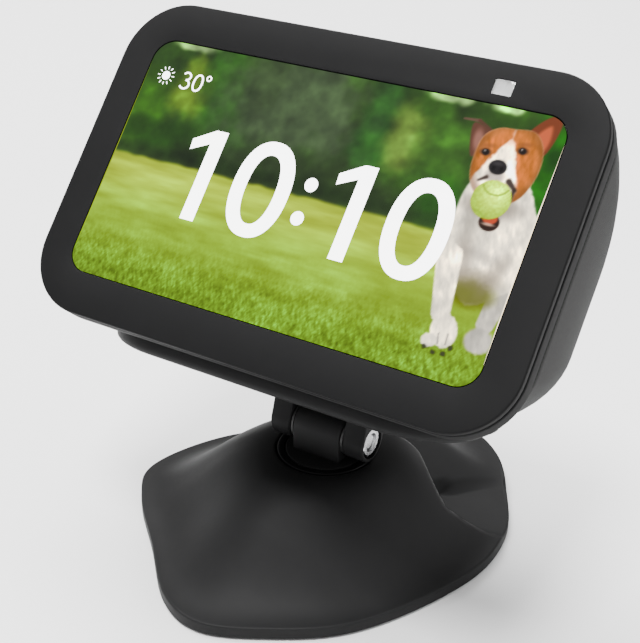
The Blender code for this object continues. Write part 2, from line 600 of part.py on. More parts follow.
def build_tray(frame, looks):
    foot_top = SEAT_RISE - GAP
    foot_low = foot_top - FOOT_PAD_THICKNESS
    prism("foot_pad", tray_outline(10.0 * MM), foot_low, foot_top, frame, looks["rubber"])
    sticky_top = foot_low - GAP
    sticky_low = sticky_top - ADHESIVE_THICKNESS
    prism("adhesive_pad", tray_outline(5.0 * MM), sticky_low, sticky_top, frame, looks["foam"])
    tray_top = sticky_low - GAP
    tray_low = tray_top - TRAY_THICKNESS
    edge = 2.2 * MM
    tray = loft("tray", (
        [(p.x, p.y, tray_low) for p in tray_outline(edge)],
        [(p.x, p.y, tray_low + edge * 0.3) for p in tray_outline(edge * 0.3)],
        [(p.x, p.y, tray_low + edge) for p in tray_outline(0.0)],
        [(p.x, p.y, tray_top - 0.5 * MM) for p in tray_outline(0.0)],
        [(p.x, p.y, tray_top) for p in tray_outline(0.5 * MM)],
    ), frame, looks["stand"])
    inner = KNUCKLE_WIDTH / 2.0 + WASHER_THICKNESS + 2.0 * GAP
    outer = inner + EAR_WIDTH
    for side in (-1, 1):
        ear = arm(f"ear_{side}", EAR_RADIUS, tray_low + MM, side * inner, side * outer, frame)
        combine(tray, ear, 'UNION')
    combine(tray, rod("bolt_bore", BOLT_RADIUS + GAP, -outer - MM, outer + MM, frame, None, "X"),
            'DIFFERENCE')
    head_floor = outer - BOLT_HEAD_THICKNESS - 2.0 * GAP
    combine(tray, rod("head_recess", BOLT_HEAD_RADIUS + GAP, -outer - MM, -head_floor, frame, None, "X"),
            'DIFFERENCE')
    nut_low = outer - NUT_RECESS - NUT_THICKNESS
    nut_reach = NUT_ACROSS_FLATS / math.sqrt(3.0)
    combine(tray, rod("nut_recess", nut_reach + GAP, nut_low - GAP, outer + MM, frame, None, "X"),
            'DIFFERENCE')
    head_inner = -head_floor - GAP
    head_outer = head_inner - BOLT_HEAD_THICKNESS
    tip = nut_low + NUT_THICKNESS - BOLT_SET_BACK
    turned("hinge_bolt", (
        (0.0, head_outer), (BOLT_HEAD_RADIUS - 0.5 * MM, head_outer),
        (BOLT_HEAD_RADIUS, head_outer + 0.5 * MM), (BOLT_HEAD_RADIUS, head_inner), (BOLT_RADIUS, head_inner),
        (BOLT_RADIUS, tip - 0.4 * MM), (BOLT_RADIUS - 0.4 * MM, tip), (0.0, tip),
    ), frame, looks["steel"], "X")
    nut = prism_along_x("hinge_nut", nut_reach, nut_low, nut_low + NUT_THICKNESS, frame, looks["steel"])
    combine(nut, rod("nut_bore", BOLT_RADIUS + GAP, 0.0, outer + MM, frame, None, "X"), 'DIFFERENCE')
    for side, label in ((-1, "left"), (1, "right")):
        low = side * (KNUCKLE_WIDTH / 2.0 + GAP)
        washer(f"friction_washer_{label}", BOLT_RADIUS + GAP, EAR_RADIUS - 0.4 * MM, low,
               low + side * WASHER_THICKNESS, frame, looks["washer"], "X")


def prism_along_x(name, reach, low, high, frame, material):
    """Hexagonal prism along X with a corner pointing up."""
    loops = [[(x, reach * math.sin(math.radians(60.0 * k)), reach * math.cos(math.radians(60.0 * k)))
              for k in range(6)] for x in (low, high)]
    return loft(name, loops, frame, material)


def build_post(frame, looks):
    """Knuckle, neck, disc and spindle in one moulding, held down from below."""
    hub_top = FOOT_HEIGHT - COLLAR_DEPTH
    hub_low = hub_top - HUB_FLOOR
    washer_top = hub_top + GAP + SWIVEL_WASHER
    disc_low = washer_top + GAP
    spring_low = hub_low - GAP - SPRING_WASHER
    plate_top = spring_low - GAP
    spindle_low = plate_top + GAP
    knuckle = make_frame("knuckle_frame", frame, (0.0, 0.0, HINGE_HEIGHT))
    half = KNUCKLE_WIDTH / 2.0
    loops = [[(x, y, -z) for y, z in arm_outline(EAR_RADIUS, HINGE_HEIGHT - DISC_TOP + MM)]
             for x in (-half, half)]
    post = loft("swivel_post", loops, knuckle, looks["stand"])
    stem = turned("post_stem", (
        (0.0, spindle_low), (SPINDLE_RADIUS, spindle_low), (SPINDLE_RADIUS, disc_low),
        (DISC_RADIUS, disc_low), (DISC_RADIUS, DISC_TOP - 0.5 * MM), (DISC_RADIUS - 0.5 * MM, DISC_TOP),
        (0.0, DISC_TOP),
    ), frame, None, steps=40)
    combine(post, stem, 'UNION')
    combine(post, rod("post_bore", BOLT_RADIUS + GAP, -half - MM, half + MM, knuckle, None, "X"),
            'DIFFERENCE')
    combine(post, rod("pilot_hole", SCREW_RADIUS + GAP, spindle_low - MM, spindle_low + 8.0 * MM, frame),
            'DIFFERENCE')
    washer("swivel_washer", SPINDLE_RADIUS + GAP, DISC_RADIUS, hub_top + GAP, washer_top, frame,
           looks["washer"])
    washer("spring_washer", SPINDLE_RADIUS + GAP, RETAINER_RADIUS, spring_low, hub_low - GAP, frame,
           looks["steel"])
    plate_low = plate_top - RETAINER_THICKNESS
    washer("retaining_plate", SCREW_RADIUS + GAP, RETAINER_RADIUS, plate_low, plate_top, frame,
           looks["steel"])
    head_top = plate_low - GAP
    turned("retaining_screw", (
        (0.0, head_top - 2.0 * MM), (3.0 * MM, head_top - 2.0 * MM), (3.8 * MM, head_top - 1.2 * MM),
        (3.8 * MM, head_top), (SCREW_RADIUS, head_top), (SCREW_RADIUS, spindle_low + 7.0 * MM),
        (0.0, spindle_low + 7.0 * MM),
    ), frame, looks["steel"])


# ---------------------------------------------------------------- foot

def foot_outline(inset=0.0):
    """Closed smooth curve through the control points, moved inward by an inset."""
    points = [Vector((x * FOOT_HALF_WIDTH, y * FOOT_HALF_LENGTH)) for x, y in FOOT_POINTS]
    total = len(points)
    outline = []
    for i in range(total):
        a, b, c, d = (points[(i + k) % total] for k in (-1, 0, 1, 2))
        for k in range(FOOT_SPAN_STEPS):
            t = k / FOOT_SPAN_STEPS
            outline.append(0.5 * (2.0 * b + (c - a) * t + (2.0 * a - 5.0 * b + 4.0 * c - d) * t ** 2
                                  + (3.0 * b - 3.0 * c + d - a) * t ** 3))
    return [p - p.normalized() * inset for p in outline]


def foot_rings(reach, top, low_height, inset):
    """Loops from the rim up to the collar; the profile is steepest half way, like a bell."""
    rim = foot_outline(inset)
    loops = []
    for k in range(FOOT_RINGS + 1):
        t = 1.0 - k / FOOT_RINGS
        height = low_height + (top - low_height) * 0.5 * (1.0 + math.cos(math.pi * t))
        loops.append([(*(p.normalized() * reach).lerp(p, t), height) for p in rim])
    return loops


def circle_loop(radius, height):
    return [(*(p.normalized() * radius), height) for p in foot_outline()]


def flat_loop(inset, height):
    return [(p.x, p.y, height) for p in foot_outline(inset)]


def channel_loop(height, near, far, wall):
    """Plan of the cable channel at a height, its two sides spread apart and moved out by a wall."""
    outline = corner_outline((
        (CHANNEL_RIGHT_INNER + (near + wall) * 0.5, CHANNEL_INNER - near * 0.25 - wall, 3.0 * MM),
        (CHANNEL_RIGHT_OUTER + near + wall, CHANNEL_OUTER, 1.0 * MM),
        (CHANNEL_LEFT - far - wall, CHANNEL_OUTER, 1.0 * MM),
        (CHANNEL_LEFT - (far + wall) * 0.8, CHANNEL_INNER - far * 0.5 - wall, 3.0 * MM)), 4)
    return [(p.x, p.y, height) for p in outline]


def channel_stack(low, wall):
    """Loops of the channel from its floor over the low step to the top of its slopes."""
    share = CHANNEL_STEP / (CHANNEL_TOP - CHANNEL_FLOOR)
    return (channel_loop(low, 0.0, 0.0, wall),
            channel_loop(low + CHANNEL_STEP, CHANNEL_SPREAD * share, CHANNEL_STEP_LEAN, wall),
            channel_loop(CHANNEL_TOP, CHANNEL_SPREAD, CHANNEL_FAR_SPREAD, wall))


def boss_places():
    return [(x * FOOT_HALF_WIDTH, y * FOOT_HALF_LENGTH) for x, y in BOSS_PLACES]


def plate_top():
    """Top of the cover plate under the foot."""
    return PAD_THICKNESS + GAP + PLATE_THICKNESS


def build_foot(frame, looks):
    shell_low = PAD_PROUD
    hub_top = FOOT_HEIGHT - COLLAR_DEPTH
    hub_low = hub_top - HUB_FLOOR
    hole = COLLAR_RADIUS + GAP
    lip = hole + COLLAR_LIP
    bore = SPINDLE_RADIUS + GAP
    inner_reach = lip + 1.0 * MM
    outer = foot_rings(lip, FOOT_HEIGHT, RIM_HEIGHT, RIM_EDGE)
    inner = foot_rings(inner_reach, hub_low, RIM_HEIGHT - FOOT_WALL + 0.8 * MM, FOOT_WALL)
    shell = loft("base_shell", (
        [flat_loop(0.0, shell_low), flat_loop(0.0, RIM_HEIGHT - RIM_EDGE)] + outer
        + [circle_loop(hole, FOOT_HEIGHT), circle_loop(hole, hub_top), circle_loop(bore, hub_top),
           circle_loop(bore, hub_low)] + list(reversed(inner)) + [flat_loop(FOOT_WALL, shell_low)]
    ), frame, looks["stand"], ring=True)
    core_rings = foot_rings(lip, FOOT_HEIGHT - FOOT_WALL / 2.0, RIM_HEIGHT - 0.8 * MM, 1.2 * MM)
    core = loft("foot_core", [flat_loop(1.2 * MM, shell_low + MM)] + core_rings, frame)
    floor = CHANNEL_FLOOR
    block_low = floor - 1.6 * MM
    trough = loft("channel_block", channel_stack(block_low, CHANNEL_WALL), frame)
    for number, (x, y) in enumerate(boss_places(), 1):
        boss = rod(f"boss_{number}", BOSS_RADIUS, plate_top() + GAP, FOOT_HEIGHT, frame, None,
                   "Z", (x, y, 0.0), 16)
        combine(trough, boss, 'UNION')
    combine(trough, core, 'INTERSECT')
    combine(shell, trough, 'UNION')
    cutter = loft("channel_cutter", channel_stack(floor, 0.0), frame)
    combine(shell, cutter, 'DIFFERENCE')
    washer("collar_ring", DISC_RADIUS + GAP, COLLAR_RADIUS, hub_top + GAP, FOOT_HEIGHT + 0.2 * MM, frame,
           looks["collar"])
    build_underside(frame, looks, shell)


def build_underside(frame, looks, shell):
    """Grip pad, cover plate and ballast, held by four screws up into the shell's bosses."""
    top = plate_top()
    rim = FOOT_WALL + GAP
    pad = prism("grip_pad", foot_outline(rim), 0.0, PAD_THICKNESS, frame, looks["rubber"])
    plate = prism("base_plate", foot_outline(rim), top - PLATE_THICKNESS, top, frame, looks["plate"])
    weight = prism("base_weight", foot_outline(WEIGHT_INSET), top + GAP, top + GAP + WEIGHT_THICKNESS,
                   frame, looks["ballast"])
    clearance = CHANNEL_WALL + 2.0 * GAP
    plate_cut = loft("plate_cutter", (channel_loop(0.0, 0.0, 0.0, clearance),
                                      channel_loop(top + GAP, 0.0, 0.0, clearance)), frame)
    combine(plate, plate_cut, 'DIFFERENCE')
    clearance += 5.0 * MM
    weight_cut = loft("weight_cutter", (channel_loop(0.0, 0.0, 0.0, clearance),
                                        channel_loop(20.0 * MM, 0.0, 0.0, clearance)), frame)
    combine(weight, weight_cut, 'DIFFERENCE')
    seat = top - PLATE_THICKNESS - 0.1 * MM
    for number, (x, y) in enumerate(boss_places(), 1):
        spot = (x, y, 0.0)
        thread = FOOT_SCREW_RADIUS + GAP
        holes = (
            (pad, FOOT_SCREW_HEAD + 2.0 * GAP, PAD_THICKNESS + MM),
            (plate, thread, top + GAP),
            (weight, BOSS_RADIUS + GAP, top + WEIGHT_THICKNESS + MM),
            (shell, thread, top + 6.5 * MM),
        )
        for piece, radius, high in holes:
            hole = rod(f"{piece.name}_hole_{number}", radius, -MM, high, frame, None, "Z", spot, 16)
            combine(piece, hole, 'DIFFERENCE')
        head_low = seat - 0.8 * MM
        turned(f"base_screw_{number}", (
            (0.0, head_low), (FOOT_SCREW_HEAD - 0.4 * MM, head_low), (FOOT_SCREW_HEAD, head_low + 0.4 * MM),
            (FOOT_SCREW_HEAD, seat), (FOOT_SCREW_RADIUS, seat), (FOOT_SCREW_RADIUS, top + 6.0 * MM),
            (0.0, top + 6.0 * MM),
        ), frame, looks["steel"], "Z", spot, 16)


# ---------------------------------------------------------------- assembly

def build_looks():
    return {
        "bezel": make_material("bezel", (0.036, 0.036, 0.038), 0.5),
        "rim": make_material("rim", (0.04, 0.04, 0.042), 0.55),
        "glass": make_material("screen_glass", (0.02, 0.05, 0.02), 0.1),
        "clear": make_material("clear_window", (0.8, 0.82, 0.84), 0.08),
        "panel": make_material("lcd", (0.05, 0.06, 0.06), 0.3),
        "backlight": make_material("backlight", (0.85, 0.85, 0.83), 0.5),
        "steel": make_material("steel", (0.55, 0.55, 0.56), 0.32, 1.0),
        "aluminium": make_material("aluminium", (0.75, 0.75, 0.76), 0.4, 1.0),
        "module": make_material("camera_black", (0.02, 0.02, 0.022), 0.3),
        "shutter": make_material("shutter_white", (0.82, 0.82, 0.8), 0.5),
        "plastic": make_material("housing_black", (0.03, 0.03, 0.032), 0.6),
        "fabric": make_material("cloth_charcoal", (0.075, 0.075, 0.073), 0.9),
        "button": make_material("button_black", (0.035, 0.035, 0.037), 0.5),
        "board": make_material("circuit_board", (0.02, 0.16, 0.07), 0.5),
        "cone": make_material("speaker_cone", (0.03, 0.03, 0.03), 0.7),
        "jack": make_material("jack_black", (0.02, 0.02, 0.02), 0.45),
        "rubber": make_material("rubber_black", (0.02, 0.02, 0.02), 0.85),
        "foam": make_material("adhesive_foam", (0.16, 0.16, 0.16), 0.9),
        "stand": make_material("stand_black", (0.03, 0.03, 0.031), 0.42),
        "washer": make_material("washer_nylon", (0.02, 0.02, 0.02), 0.5),
        "plate": make_material("plate_black", (0.04, 0.04, 0.04), 0.6),
        "ballast": make_material("ballast_steel", (0.42, 0.42, 0.43), 0.45, 1.0),
        "collar": make_material("collar_black", (0.015, 0.015, 0.016), 0.4),
    }


def main():
    clear_scene()
    looks = build_looks()
    swivel = make_frame("swivel_axis", None, (0.0, 0.0, 0.0))
    tilt = make_frame("tilt_axis", swivel, (0.0, 0.0, HINGE_HEIGHT), BASE_LEAN - REST_LEAN)
    turn = Matrix.Rotation(-BASE_LEAN, 3, 'X')
    lower_edge = Vector((0.0, -SEAT_AHEAD, SEAT_RISE))
    centre = lower_edge + turn @ Vector((0.0, 0.0, FACE_HEIGHT / 2.0))
    display = make_frame("display_frame", tilt, centre, -BASE_LEAN)
    build_face(display, looks)
    frame_back, seat = build_panel_stack(display, looks)
    build_camera(display, looks, frame_back)
    fabric, housing = build_housing(display, looks, frame_back + GAP)
    build_buttons(display, looks, fabric, housing)
    build_electronics(display, looks, seat)
    build_tray(tilt, looks)
    build_post(swivel, looks)
    foot = make_frame("foot_frame", None, (0.0, 0.0, 0.0), 0.0, FOOT_TURN)
    build_foot(foot, looks)


main()
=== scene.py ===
"""Looks for the smart display on its tilt and swivel stand: materials, fine meshes, light and camera."""

import math

import bmesh
import bpy
import numpy as np
from mathutils import Matrix, Vector


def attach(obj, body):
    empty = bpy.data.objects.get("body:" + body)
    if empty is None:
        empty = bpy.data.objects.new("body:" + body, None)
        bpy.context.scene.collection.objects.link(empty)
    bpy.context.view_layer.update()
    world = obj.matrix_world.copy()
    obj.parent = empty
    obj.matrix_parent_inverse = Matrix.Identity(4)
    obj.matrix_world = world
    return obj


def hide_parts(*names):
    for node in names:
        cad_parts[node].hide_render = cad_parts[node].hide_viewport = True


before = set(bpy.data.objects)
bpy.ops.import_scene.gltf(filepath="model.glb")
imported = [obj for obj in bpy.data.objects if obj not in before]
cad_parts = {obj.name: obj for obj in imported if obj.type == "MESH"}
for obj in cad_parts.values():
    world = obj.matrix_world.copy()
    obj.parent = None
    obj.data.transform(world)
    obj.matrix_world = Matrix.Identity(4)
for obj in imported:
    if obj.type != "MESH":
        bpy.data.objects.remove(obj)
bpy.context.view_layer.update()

MM = 0.001

# Display; a face size is half its width, half its height and the radius of its corners
FACE_HEIGHT = 94.0
FACE = (73.5, FACE_HEIGHT / 2.0, 18.0)
SCREEN = (63.1, 35.5, 6.5)
SCREEN_GAP = 0.3
GLASS_FRONT = 0.15
BEZEL_THICKNESS = 2.0
RIM_FRONT = 2.3
RIM_OPENING = (64.6, 36.7, 1.8)
FRAME_BACK = 7.0
CREASE_WIDTH = 0.8
HOUSING_DEPTH = 70.0
HOUSING_POWER = 3.1
HOUSING_END = 0.985
CLOTH_THICKNESS = 0.8
BASE_LEAN = math.radians(22.0)

# Camera window and its shutter
CAMERA_X = 42.4
CAMERA_Z = 40.0
SHUTTER_FRONT = 0.95
SHUTTER_BACK = 1.45
TRAVEL_MIDDLE = 3.5
TRAVEL_HALF = 5.3

# Buttons and power inlet
BUTTON_SETBACK = 14.0
BUTTON_PLACES = {"mute": -27.0, "volume_down": -9.0, "volume_up": 6.0}
BUTTON_LOW = -4.4
MARK_LOW = 0.42
MARK_HIGH = 0.56
JACK_X = 39.7
JACK_RADIUS = 4.6
JACK_MOUTH = 64.0

# Tray and hinge
HINGE_HEIGHT = 36.0
REST_LEAN = math.radians(41.8)
SEAT_RISE = 24.3
SEAT_AHEAD = 54.9
TRAY_TOP = 21.4
TRAY_LOW = 16.8
EAR_INNER = 9.0
EAR_OUTER = 15.6
EAR_RADIUS = 6.0
POST_HALF_WIDTH = 7.8
BOLT_HOLE_RADIUS = 2.8
BOLT_TIP = 14.6
NUT_LOW = 12.5
NUT_HIGH = 15.2
NUT_HALF_FLATS = 4.0

# Foot
FOOT_HEIGHT = 29.3
FOOT_HALF_WIDTH = 50.0
FOOT_HALF_LENGTH = 57.5
FOOT_TURN = math.radians(-43.7)
FOOT_LOW = 0.8
FOOT_WALL = 2.4
RIM_HEIGHT = 4.3
RIM_EDGE = 0.6
COLLAR_RADIUS = 14.5
COLLAR_LIP = 16.3
DISC_RADIUS = 12.1
DISC_TOP = 29.5
HUB_LOW = 21.0
HUB_RADIUS = 17.3
FOOT_POINTS = (
    (-0.48, -0.92), (0.00, -0.92), (0.48, -0.92), (0.77, -0.79), (0.92, -0.47), (0.98, -0.12),
    (0.88, 0.26), (0.67, 0.64), (0.38, 0.88), (0.04, 1.00), (-0.40, 1.08), (-0.76, 0.99),
    (-0.97, 0.66), (-1.03, 0.09), (-1.01, -0.42), (-0.80, -0.82),
)

# Cable channel in the foot
CHANNEL_FLOOR = 3.1
CHANNEL_NEAR_SLOPE = 1.7
CHANNEL_FAR_SLOPE = 0.55
CHANNEL_CORNERS = ((9.5, 33.0), (40.0, 71.9))
CHANNEL_FAR_SIDE = -4.0

# Picture on the screen
PICTURE_STEP = 0.3
PICTURE_SHIFT = 1.2
PICTURE_DEPTH = 0.135
FIGURE_BACK = 0.12
FIGURE_FRONT = 0.06

# Frames of the three bodies at rest; lengths inside them are in millimetres
WORLD = Matrix.Scale(MM, 4)
HINGE = Matrix.Translation((0.0, 0.0, HINGE_HEIGHT * MM))
TILT = HINGE @ Matrix.Rotation(BASE_LEAN - REST_LEAN, 4, 'X') @ WORLD
LOWER_EDGE = Vector((0.0, -SEAT_AHEAD, SEAT_RISE))
FACE_CENTRE = LOWER_EDGE + Matrix.Rotation(-BASE_LEAN, 3, 'X') @ Vector((0.0, 0.0, FACE_HEIGHT / 2.0))
DISPLAY = TILT @ Matrix.Translation(FACE_CENTRE) @ Matrix.Rotation(-BASE_LEAN, 4, 'X')
FOOT = Matrix.Rotation(FOOT_TURN, 4, 'Z') @ WORLD


# Node materials

class Nodes:
    """Small helper around a material's node tree."""

    def __init__(self, name):
        self.material = bpy.data.materials.new(name)
        self.material.use_nodes = True
        self.tree = self.material.node_tree
        self.shader = self.tree.nodes["Principled BSDF"]
        self.coordinates = self.add("ShaderNodeTexCoord")

    def add(self, kind, **settings):
        node = self.tree.nodes.new(kind)
        for key, value in settings.items():
            if hasattr(node, key):
                setattr(node, key, value)
            else:
                node.inputs[key.replace("_", " ")].default_value = value
        return node

    def link(self, source, target):
        self.tree.links.new(source, target)

    def set(self, **values):
        for key, value in values.items():
            self.shader.inputs[key.replace("_", " ")].default_value = value

    def place(self, scale=(1.0, 1.0, 1.0)):
        """Texture coordinates in millimetres."""
        mapping = self.add("ShaderNodeMapping")
        mapping.inputs["Scale"].default_value = tuple(value / MM for value in scale)
        self.link(self.coordinates.outputs["Object"], mapping.inputs["Vector"])
        return mapping.outputs["Vector"]

    def noise(self, scale, detail=4.0, roughness=0.6, vector=None):
        node = self.add("ShaderNodeTexNoise", Scale=scale, Detail=detail, Roughness=roughness)
        self.link(vector if vector else self.place(), node.inputs["Vector"])
        return node.outputs["Fac"]

    def ramp(self, value, low=0.0, high=1.0, from_low=0.35, from_high=0.65):
        node = self.add("ShaderNodeMapRange")
        limits = {"From Min": from_low, "From Max": from_high, "To Min": low, "To Max": high}
        for key, number in limits.items():
            node.inputs[key].default_value = number
        self.link(value, node.inputs["Value"])
        return node.outputs["Result"]

    def mix(self, factor, one, two):
        node = self.add("ShaderNodeMix", data_type='RGBA')
        node.inputs[6].default_value = (*one, 1.0)
        node.inputs[7].default_value = (*two, 1.0)
        self.link(factor, node.inputs[0])
        return node.outputs[2]

    def math(self, operation, one, two=None):
        node = self.add("ShaderNodeMath", operation=operation)
        for index, item in enumerate((one, two)):
            if isinstance(item, (int, float)):
                node.inputs[index].default_value = item
            elif item is not None:
                self.link(item, node.inputs[index])
        return node.outputs[0]

    def colour(self, factor, one, two):
        self.link(self.mix(factor, one, two), self.shader.inputs["Base Color"])

    def roughness(self, value, low, high):
        self.link(self.ramp(value, low, high), self.shader.inputs["Roughness"])

    def bump(self, height, strength, distance):
        """Bump of a depth in millimetres."""
        node = self.add("ShaderNodeBump", Strength=strength, Distance=distance * MM)
        self.link(height, node.inputs["Height"])
        self.link(node.outputs["Normal"], self.shader.inputs["Normal"])


def moulded(name, dark, light, rough_low, rough_high, grain=1.6, strength=0.12, specular=0.5):
    """Moulded plastic: faint uneven colour, uneven gloss and a fine spark-eroded grain."""
    nodes = Nodes(name)
    nodes.colour(nodes.ramp(nodes.noise(0.05)), dark, light)
    nodes.roughness(nodes.noise(0.6, 5.0), rough_low, rough_high)
    nodes.bump(nodes.noise(grain, 3.0, 0.7), strength, 0.05)
    nodes.set(Specular_IOR_Level=specular)
    return nodes.material


def brushed(name, colour, rough_low, rough_high):
    """Metal with fine lines along one axis and faint smudges."""
    nodes = Nodes(name)
    lines = nodes.noise(3.0, 8.0, 0.7, nodes.place((0.5, 6.0, 6.0)))
    nodes.colour(nodes.ramp(nodes.noise(0.4)), tuple(channel * 0.86 for channel in colour), colour)
    nodes.roughness(lines, rough_low, rough_high)
    nodes.bump(lines, 0.1, 0.02)
    nodes.set(Metallic=1.0)
    return nodes.material


def rubber(name, dark, light):
    nodes = Nodes(name)
    nodes.colour(nodes.ramp(nodes.noise(0.3)), dark, light)
    nodes.roughness(nodes.noise(0.8), 0.75, 0.92)
    nodes.bump(nodes.noise(2.5, 5.0, 0.8), 0.25, 0.08)
    return nodes.material


def knitted(name, dark, light):
    """Close knit cloth: two crossed sets of threads read from the piece's own thread map, with sheen."""
    nodes = Nodes(name)
    separate = nodes.add("ShaderNodeSeparateXYZ")
    nodes.link(nodes.coordinates.outputs["UV"], separate.inputs["Vector"])
    wobble = nodes.math('MULTIPLY', nodes.noise(0.25, 2.0), 0.25)

    def threads(axis, pitch):
        position = nodes.math('ADD', separate.outputs[axis], wobble)
        return nodes.math('SINE', nodes.math('MULTIPLY', position, 2.0 * math.pi / pitch))

    weave = nodes.math('MULTIPLY', threads("X", 1.0), threads("Y", 0.8))
    fuzz = nodes.math('MULTIPLY', nodes.noise(6.0, 3.0), 0.6)
    speckle = nodes.math('MULTIPLY', nodes.noise(3.0), 0.25)
    nodes.colour(nodes.math('ADD', nodes.ramp(weave, 0.25, 0.7, -1.0, 1.0), speckle), dark, light)
    nodes.roughness(nodes.noise(1.5), 0.86, 0.98)
    nodes.bump(nodes.math('ADD', nodes.math('MULTIPLY', weave, 0.5), fuzz), 0.35, 0.12)
    nodes.set(Sheen_Weight=0.06, Sheen_Roughness=0.5, Specular_IOR_Level=0.2)
    return nodes.material


def circuit(name):
    """Green solder mask with lighter tracks between blocks."""
    nodes = Nodes(name)
    bricks = nodes.add("ShaderNodeTexBrick", Scale=0.35)
    bricks.inputs["Mortar Size"].default_value = 0.03
    nodes.link(nodes.place(), bricks.inputs["Vector"])
    nodes.colour(bricks.outputs["Fac"], (0.012, 0.12, 0.05), (0.05, 0.26, 0.09))
    nodes.roughness(nodes.noise(0.8), 0.3, 0.45)
    nodes.bump(bricks.outputs["Fac"], 0.3, 0.05)
    return nodes.material


def clear_plastic(name):
    nodes = Nodes(name)
    nodes.roughness(nodes.noise(0.6), 0.02, 0.05)
    nodes.colour(nodes.noise(0.5), (0.97, 0.98, 0.98), (1.0, 1.0, 1.0))
    nodes.set(Transmission_Weight=1.0, IOR=1.45)
    return nodes.material


def lit(name, strength, base, layer=None):
    """What the panel shows, under smooth glass: the piece's own painted colours, or white."""
    nodes = Nodes(name)
    if layer:
        glow = nodes.add("ShaderNodeVertexColor", layer_name=layer).outputs["Color"]
    else:
        glow = nodes.mix(nodes.ramp(nodes.noise(0.1)), (0.95, 0.96, 0.97), (1.0, 1.0, 1.0))
    nodes.link(glow, nodes.shader.inputs["Emission Color"])
    nodes.roughness(nodes.noise(0.05), 0.06, 0.1)
    nodes.set(Base_Color=(base, base, base, 1.0), Emission_Strength=strength, Specular_IOR_Level=0.08)
    return nodes.material


def floor_paint(name):
    nodes = Nodes(name)
    nodes.colour(nodes.noise(2.0), grey(0.86), grey(0.88))
    nodes.set(Roughness=0.9, Specular_IOR_Level=0.1)
    return nodes.material


def grey(shade, blue=None):
    return (shade, shade, shade if blue is None else blue)


LOOKS = {
    "steel": brushed("bright_steel", grey(0.62, 0.63), 0.2, 0.34),
    "dark_steel": brushed("black_oxide_steel", grey(0.05, 0.052), 0.35, 0.5),
    "plate": brushed("zinc_steel", grey(0.42, 0.43), 0.3, 0.48),
    "aluminium": brushed("cast_aluminium", grey(0.7, 0.71), 0.3, 0.42),
    "rubber": rubber("soft_rubber", grey(0.012), grey(0.0204)),
    "cloth": knitted("charcoal_knit", grey(0.0065, 0.0063), grey(0.0135, 0.013)),
    "board": circuit("circuit_board"),
    "clear": clear_plastic("clear_acrylic"),
    "picture": lit("lit_picture", 1.0, 0.004, "picture"),
    "figures": lit("lit_white", 7.0, 0.01),
    "floor": floor_paint("studio_floor"),
}
for key, *row in (
    ("bezel", "bezel_plastic", grey(0.0056, 0.0058), grey(0.0064, 0.0066), 0.54, 0.58, 2.4, 0.06, 0.07),
    ("rim", "rim_plastic", grey(0.0105, 0.0107), grey(0.0125, 0.0127), 0.58, 0.64, 1.8, 0.08, 0.06),
    ("tray", "tray_plastic", grey(0.008, 0.0082), grey(0.0095, 0.0097), 0.52, 0.56, 1.8, 0.08, 0.08),
    ("stand", "stand_plastic", grey(0.013, 0.0132), grey(0.015, 0.0152), 0.52, 0.55, 1.8, 0.08, 0.08),
    ("collar", "collar_plastic", grey(0.0035, 0.0037), grey(0.005, 0.0053), 0.36, 0.42, 1.4, 0.06, 0.12),
    ("inner", "inner_plastic", grey(0.015, 0.016), grey(0.022, 0.023), 0.5, 0.65),
    ("button", "button_plastic", grey(0.008, 0.0082), grey(0.011, 0.0112), 0.45, 0.55, 1.6, 0.08, 0.2),
    ("mark", "mark_ink", grey(0.2), grey(0.26), 0.5, 0.6),
    ("shutter", "shutter_plastic", grey(0.94, 0.93), grey(0.97, 0.96), 0.4, 0.5, 1.6, 0.05),
    ("nylon", "washer_nylon", grey(0.012), grey(0.016), 0.45, 0.6),
    ("foam", "adhesive_foam", grey(0.05), grey(0.08), 0.85, 0.95, 1.2, 0.5),
    ("panel", "panel_layers", grey(0.5, 0.49), grey(0.6, 0.59), 0.35, 0.5),
    ("cone", "speaker_paper", grey(0.02), grey(0.03), 0.7, 0.85, 1.5, 0.4),
    ("glass", "black_glass", grey(0.004), grey(0.006), 0.05, 0.09, 0.4, 0.01),
):
    LOOKS[key] = moulded(*row)


# Mesh helpers

def add_object(name, data):
    item = bpy.data.objects.new(name, data)
    bpy.context.scene.collection.objects.link(item)
    return item


def shade(mesh, sharp=35.0):
    mesh.shade_smooth()
    mesh.set_sharp_from_angle(angle=math.radians(sharp))


def add_piece(name, bm, place, look, body, node=None, sharp=35.0):
    """Object from a bmesh in one of the frames, riding on a body and standing for a CAD node."""
    bmesh.ops.recalc_face_normals(bm, faces=bm.faces)
    bm.transform(place)
    mesh = bpy.data.meshes.new(name)
    bm.to_mesh(mesh)
    bm.free()
    shade(mesh, sharp)
    piece = add_object(name, mesh)
    if look:
        mesh.materials.append(LOOKS[look])
    if body:
        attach(piece, body)
        if node:
            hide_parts(node)
    return piece


def joined(parts):
    """One bmesh from several."""
    whole = bmesh.new()
    for part in parts:
        mesh = bpy.data.meshes.new("part")
        part.to_mesh(mesh)
        part.free()
        whole.from_mesh(mesh)
        bpy.data.meshes.remove(mesh)
    return whole


def cut_by(piece, bm, place, operation='DIFFERENCE'):
    """Boolean of a piece with a mesh, applied at once so no helper object is left."""
    helper = add_piece("helper", bm, place, None, None)
    modifier = piece.modifiers.new("cut", 'BOOLEAN')
    modifier.operation = operation
    modifier.object = helper
    modifier.solver = 'EXACT'
    graph = bpy.context.evaluated_depsgraph_get()
    graph.update()
    mesh = bpy.data.meshes.new_from_object(piece.evaluated_get(graph))
    piece.modifiers.clear()
    piece.data = mesh
    shade(mesh)
    bpy.data.objects.remove(helper, do_unlink=True)


